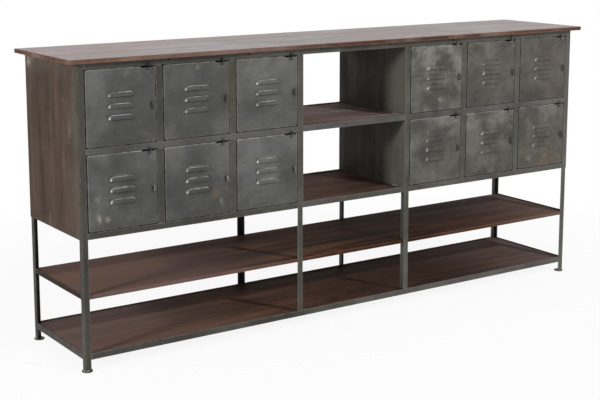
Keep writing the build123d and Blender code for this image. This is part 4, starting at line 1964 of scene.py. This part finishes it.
@dataclass
class DoorFittings:
    """A door's rod pull, its padlock eye on a tab, and its two pivot pins."""

    name: str
    rod_finish: Material
    eye_finish: Material
    door_depth: float = 0.012
    sink: float = 0.0006
    rod: float = 0.00225
    rod_bend: float = 0.0045
    weld_swell: float = 1.5
    weld_neck: float = 1.15
    pull_wear: float = 0.35
    pull_height: float = 0.022
    pull_stand: float = 0.009
    pull_inset: float = 0.012
    pull_drop: float = 0.114
    eye_inset: float = 0.025
    eye_height: float = 0.024
    eye_reach: float = 0.010
    eye_wall: float = 0.0022
    eye_stand: float = 0.001
    eye_drop: float = 0.001
    eye_wear: float = 0.3
    tab_height: float = 0.0075
    tab_drop: float = 0.0035
    tab_edge: float = 0.0004
    collar: float = 0.0045
    collar_height: float = 0.0012
    pin: float = 0.0025
    pin_height: float = 0.004
    pin_edge: float = 0.0003
    rub_fade: float = 0.001
    low: Vector = field(init=False)
    high: Vector = field(init=False)
    front: float = field(init=False)

    def __post_init__(self) -> None:
        """Take the door's place from its node."""
        self.low, self.high = box_of(f"{self.name}_panel")
        self.front = self.high.y - self.door_depth

    def arc(self, x: float, out: float, height: float, radius: float, start: int, end: int) -> list[Vector]:
        """Give the points of an arc that stands square to the front.

        Args:
            x: Its place along the length.
            out: How far its centre stands out from the front.
            height: The height of its centre.
            radius: Its radius.
            start: The angle that it starts at, in degrees up from straight out.
            end: The angle that it ends at.

        Returns:
            The points.
        """
        steps = abs(end - start) // ARC_STEP
        turns = [math.radians(start + (end - start) * step / steps) for step in range(steps + 1)]
        return [
            Vector((x, self.front - out - radius * math.cos(turn), height + radius * math.sin(turn)))
            for turn in turns
        ]

    def build_pull(self) -> None:
        """Bend the rod pull and swell its two welded ends."""
        x = self.high.x - self.pull_inset
        bottom = self.high.z - self.pull_drop - self.pull_height / 2 + self.rod
        top = bottom + self.pull_height - 2 * self.rod
        out = self.pull_stand - self.rod - self.rod_bend
        ends = [Vector((x, self.front + self.sink, height)) for height in (bottom, top)]
        necks = [Vector((x, self.front - out / 2, height)) for height in (bottom, top)]
        bends = self.arc(x, out, bottom + self.rod_bend, self.rod_bend, -90, 0)
        bends += self.arc(x, out, top - self.rod_bend, self.rod_bend, 0, 90)
        swell, neck = self.weld_swell * self.rod, self.weld_neck * self.rod
        radii = [swell, neck] + [self.rod] * len(bends) + [neck, swell]
        route = [ends[0], necks[0]] + bends + [necks[1], ends[1]]
        shell = Shell()
        shell.tube(route, radii, RIGHT, wear=self.pull_wear)
        shell.piece(f"steel_{self.name}_pull", self.rod_finish, "fitting_steel", body=self.name)

    def add_eye(self, shell: Shell) -> None:
        """Add the slim eye and the tab that holds it to a piece."""
        x = self.high.x - self.eye_inset
        middle = self.high.z - self.eye_drop
        radius = (self.eye_reach - self.eye_wall) / 2
        rise = (self.eye_height - self.eye_reach) / 2
        out = self.eye_stand + self.eye_reach / 2
        ring = self.arc(x, out, middle + rise, radius, 0, 180)
        ring += self.arc(x, out, middle - rise, radius, 180, 360)
        shell.tube(ring, [self.eye_wall / 2] * len(ring), RIGHT, loop=True, wear=self.eye_wear)

        corner = Vector((x + self.eye_wall / 2, self.front, self.high.z - self.tab_drop - self.tab_height))
        reach = Vector((self.eye_stand + self.eye_wall, self.tab_height))
        outline = rectangle(Vector((-self.sink, 0)), reach, self.tab_edge, self.rub_fade)
        rings = board_rings(self.eye_wall, self.tab_edge, self.rub_fade)
        shell.loft(outline, Axes(corner, -BACK, UP), rings)

    def add_pins(self, shell: Shell) -> None:
        """Add the pins and their collars to a piece."""
        node_low, node_high = box_of(f"{self.name}_fittings")
        pivot = Vector((node_low.x + self.collar, node_high.y - self.collar, 0))
        for radius, height in ((self.collar, self.collar_height), (self.pin, self.pin_height)):
            outline = circle(radius, 360 // ARC_STEP)
            rings = board_rings(height, self.pin_edge, self.rub_fade)
            for start in (self.low.z - height, self.high.z):
                shell.loft(outline, Axes(pivot + UP * start, RIGHT, BACK), rings)

    def build(self) -> None:
        """Build the pull, and the eye and the pins as one piece."""
        self.build_pull()
        shell = Shell()
        self.add_eye(shell)
        self.add_pins(shell)
        shell.piece(
            f"steel_{self.name}_fittings", self.eye_finish, "fitting_steel", body=self.name,
            stands_for=[f"{self.name}_fittings"],
        )


@dataclass
class SmallParts:
    """Weld beads and the finishes of the lugs, catches, staples, screws and inner boards."""

    FILLER_OFFSET: ClassVar[Triple] = (-0.001, 0.012, 0.0008)
    FILLER_RUN: ClassVar[Triple] = (-0.004, 0.030, 0.0)

    finishes: Finishes
    bead: float = 0.0022
    foot_inset: float = 0.003
    foot_lift: float = 0.0006
    foot_run: float = 4.5
    foot_ripples: int = 5
    filler: float = 0.00242
    filler_ripples: int = 6

    def build_foot_beads(self) -> None:
        """Lay the beads between the posts and their feet."""
        shell = Shell()
        for row in ROWS:
            for side in SIDES:
                low, high = box_of(f"corner_post_{row}_{side}")
                corner = Vector((
                    low.x if side == "left" else high.x,
                    low.y if row == "front" else high.y,
                    low.z + self.foot_lift,
                ))
                along_x = RIGHT * (self.foot_inset if side == "left" else -self.foot_inset)
                along_y = BACK * (self.foot_inset if row == "front" else -self.foot_inset)
                for step in (along_x, along_y):
                    start, end = corner + step, corner + step * self.foot_run
                    shell.bead(start, end, self.bead, self.foot_ripples)
        shell.piece("weld_beads_at_feet", self.finishes.bead, "frame_iron")

    def build_filler(self) -> None:
        """Lay the beads where the niche's rails meet its right wall."""
        shell = Shell()
        wall = box_of("niche_wall_right")[0].x
        post_back = box_of("middle_post_front_right")[1].y
        low, high = box_of("niche_shelves")
        shelf_low, shelf_high = box_of("lower_shelf_board")
        thickness = shelf_high.z - shelf_low.z
        for top in (high.z, low.z + thickness):
            start = Vector((wall, post_back, top)) + Vector(self.FILLER_OFFSET)
            shell.bead(start, start + Vector(self.FILLER_RUN), self.filler, self.filler_ripples)
        shell.piece("pale_filler_in_niche", self.finishes.bead, "frame_iron")

    def dress_nodes(self) -> None:
        """Give the nodes whose solid shows a finish of their own."""
        dressing = (
            (self.finishes.black, ("pivot_lugs", "door_catches", "padlock_staples", "top_screws")),
            (self.finishes.inner, ("locker_floors", "locker_dividers", "back_panels")),
        )
        for material, nodes in dressing:
            for node in nodes:
                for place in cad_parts[node].material_slots:
                    place.material = material
                LOG.info("%s: dressed with %s", node, material.name)

    def build(self) -> None:
        """Build the beads and dress the nodes."""
        self.build_foot_beads()
        self.build_filler()
        self.dress_nodes()


@dataclass(frozen=True)
class Lamp:
    """A soft square lamp: where it hangs, its side, its power and whether polished surfaces mirror it."""

    name: str
    place: Triple
    size: float
    watts: float
    mirrored: bool

    def hang(self, target: Triple) -> None:
        """Add the lamp to the scene.

        Args:
            target: The place that it points at.
        """
        data = bpy.data.lights.new(self.name, "AREA")
        data.shape = "SQUARE"
        data.size = self.size
        data.energy = self.watts
        lamp = bpy.data.objects.new(self.name, data)
        lamp.location = self.place
        lamp.visible_glossy = self.mirrored
        aim = Vector(target) - Vector(self.place)
        lamp.rotation_euler = aim.to_track_quat("-Z", "Y").to_euler()
        bpy.context.scene.collection.objects.link(lamp)


@dataclass
class Studio:
    """The pale floor, the soft light and the camera."""

    LAMPS: ClassVar[tuple[Lamp, ...]] = (
        Lamp("front_lamp", (1.75, -4.3, 2.9), size=0.2, watts=180.0, mirrored=False),
        Lamp("left_lamp", (-4.7, -1.2, 1.9), size=0.6, watts=150.0, mirrored=True),
        Lamp("back_lamp", (-1.8, 4.6, 3.2), size=1.2, watts=45.0, mirrored=False),
    )

    camera_place: Triple = (-2.42624, -3.42275, 1.29386)
    camera_turn: float = 34.244
    camera_dip: float = 9.330
    camera_shift: float = -0.12
    camera_reach: float = 200.0
    lens: float = 76.10
    sensor: float = 36.0
    white: Colour = (1.0, 1.0, 1.0, 1.0)
    light_level: float = 0.32
    shown_level: float = 1.0
    lamp_target: Triple = (0.0, 0.0, 0.5)
    floor_colour: Colour = (0.8, 0.8, 0.8, 1.0)
    floor_half: float = 40.0
    shadow_near: float = 0.9
    shadow_far: float = 2.2
    near_glow: float = 0.9

    def build_camera(self) -> None:
        """Set the camera at the photograph's angle."""
        data = bpy.data.cameras.new("camera")
        data.sensor_fit = "HORIZONTAL"
        data.sensor_width = self.sensor
        data.lens = self.lens
        data.shift_y = self.camera_shift
        data.clip_end = self.camera_reach
        camera = bpy.data.objects.new("camera", data)
        camera.location = self.camera_place
        camera.rotation_euler = (math.radians(90 - self.camera_dip), 0, math.radians(-self.camera_turn))
        bpy.context.scene.collection.objects.link(camera)
        bpy.context.scene.camera = camera

    def build_world(self) -> None:
        """Make a white surround that lights the object evenly."""
        world = bpy.data.worlds.new("white_surround")
        bpy.context.scene.world = world
        g = NodeGraph(world)
        light, shown = (
            g.add("ShaderNodeBackground", {"Color": self.white, "Strength": level})
            for level in (self.light_level, self.shown_level)
        )
        surround = g.mix_shaders(g.seen_directly(), light, shown)
        g.add("ShaderNodeOutputWorld", {"Surface": surround.outputs[0]})

    def floor_material(self) -> Material:
        """Make the floor's finish, which glows white but keeps a faint shadow round the sideboard.

        Returns:
            The material.
        """
        g = FinishGraph("white_floor")
        plain = g.add("ShaderNodeBsdfDiffuse", {"Color": self.floor_colour})
        glowing = g.add("ShaderNodeEmission", {"Strength": self.shown_level})
        distance = g.add("ShaderNodeVectorMath", {0: g.coords}, operation="LENGTH").outputs["Value"]
        glow = g.span(distance, self.shadow_near, self.shadow_far, self.near_glow)
        shown = g.mix_shaders(glow, plain, glowing)
        whole = g.mix_shaders(g.seen_directly(), plain, shown)
        g.add("ShaderNodeOutputMaterial", {"Surface": whole.outputs[0]})
        return g.owner

    def build_floor(self) -> None:
        """Lay the floor."""
        half = self.floor_half
        corners = [(-half, -half, 0), (half, -half, 0), (half, half, 0), (-half, half, 0)]
        mesh = bpy.data.meshes.new("studio_floor")
        mesh.from_pydata(corners, [], [(0, 1, 2, 3)])
        mesh.materials.append(self.floor_material())
        floor = bpy.data.objects.new("studio_floor", mesh)
        bpy.context.scene.collection.objects.link(floor)

    def build(self) -> None:
        """Build the studio."""
        self.build_camera()
        self.build_world()
        self.build_floor()
        for lamp in self.LAMPS:
            lamp.hang(self.lamp_target)
        bpy.context.scene.view_settings.view_transform = "Standard"


DOOR_MARKS = (
    Mark(Stain.PALE, -0.911, 0.450, 0.005, 0.013, 0.4, 0.8),
    Mark(Stain.PALE, -0.884, 0.445, 0.008, 0.007, 0.0, 0.7),
    Mark(Stain.PALE, -0.914, 0.508, 0.008, 0.012, 0.0, 0.3),
    Mark(Stain.PALE, -0.817, 0.862, 0.010, 0.006, 0.0, 0.3),
    Mark(Stain.PALE, -0.752, 0.866, 0.007, 0.004, -0.5, 0.35),
    Mark(Stain.RUST, -0.522, 0.485, 0.010, 0.009, 0.0, 0.7),
    Mark(Stain.RUST, -0.528, 0.473, 0.008, 0.008, 0.0, 0.5),
    Mark(Stain.PALE, -0.504, 0.448, 0.006, 0.012, 0.4, 0.45),
    Mark(Stain.PALE, -0.582, 0.865, 0.007, 0.008, 0.4, 0.35),
    Mark(Stain.PALE, 0.359, 0.695, 0.011, 0.007, -0.4, 0.7),
    Mark(Stain.RUST, 0.865, 0.431, 0.055, 0.022, 0.1, 0.5),
    Mark(Stain.PALE, 0.777, 0.448, 0.010, 0.010, 0.0, 0.4),
)
PANEL_MARKS = (
    Mark(Stain.PALE, 0.035, 0.415, 0.004, 0.018, 0.1, 0.6),
    Mark(Stain.PALE, 0.046, 0.398, 0.006, 0.006, 0.0, 0.5),
    Mark(Stain.PALE, -0.118, 0.700, 0.003, 0.030, 0.0, 0.25),
    Mark(Stain.PALE, -0.070, 0.610, 0.002, 0.040, 0.0, 0.2),
    Mark(Stain.PALE, 0.168, 0.876, 0.016, 0.012, 0.0, 0.9),
    Mark(Stain.PALE, 0.140, 0.884, 0.018, 0.005, 0.0, 0.35),
    Mark(Stain.PALE, -0.150, 0.868, 0.004, 0.012, 0.0, 0.35),
)
DOOR_ROWS = ("lower", "upper")
DOORS_IN_ROW = 6
# How strong the painted highlight on the louvre ridges is on the doors to the right
FAINT_RIDGE_HIGHLIGHT = 0.25
# Doors whose pulls, and doors whose eyes, take the lighter rod finish: a painted highlight
HIGHLIT_PULL_DOORS = ("door_lower_1", "door_lower_2", "door_lower_3")
BRIGHT_EYES = ("door_upper_4", "door_lower_5", "door_upper_6")
DOOR_CASTS = {
    "door_upper_3": 0.15, "door_upper_4": 0.5, "door_lower_4": 0.3, "door_lower_5": 0.35, "door_lower_3": 0.1,
    "door_upper_5": 0.1, "door_lower_6": 0.2,
}


def main() -> None:
    """Build the sideboard's pieces in order, after the studio round them."""
    logging.basicConfig(level=logging.INFO, format="%(name)s %(message)s")
    noise.seed_set(NOISE_SEED)
    doors = [f"door_{row}_{number}" for row in DOOR_ROWS for number in range(1, DOORS_IN_ROW + 1)]
    finishes = Finishes()
    Studio().build()
    IronFrame(finishes).build(doors)
    Boards(finishes).build()
    Cladding(finishes).build()
    for door in doors:
        on_right = box_of(f"{door}_panel")[0].x > 0
        # The doors on the right get a fainter painted highlight on their louvre ridges
        ridge_highlight = FAINT_RIDGE_HIGHLIGHT if on_right else LockerDoor.ridge_highlight
        sheet = finishes.cloudy_door if on_right else finishes.door
        LockerDoor(door, sheet, DOOR_MARKS, ridge_highlight, DOOR_CASTS.get(door, 0.0)).build()
        # Some pulls and eyes take the lighter rod finish: a painted highlight
        rod_finish = finishes.bright if door in HIGHLIT_PULL_DOORS else finishes.black
        eye_finish = finishes.fitting if on_right else finishes.black
        if door in BRIGHT_EYES:
            eye_finish = finishes.bright
        DoorFittings(door, rod_finish, eye_finish).build()
    SmallParts(finishes).build()


if __name__ == "__main__":
    main()
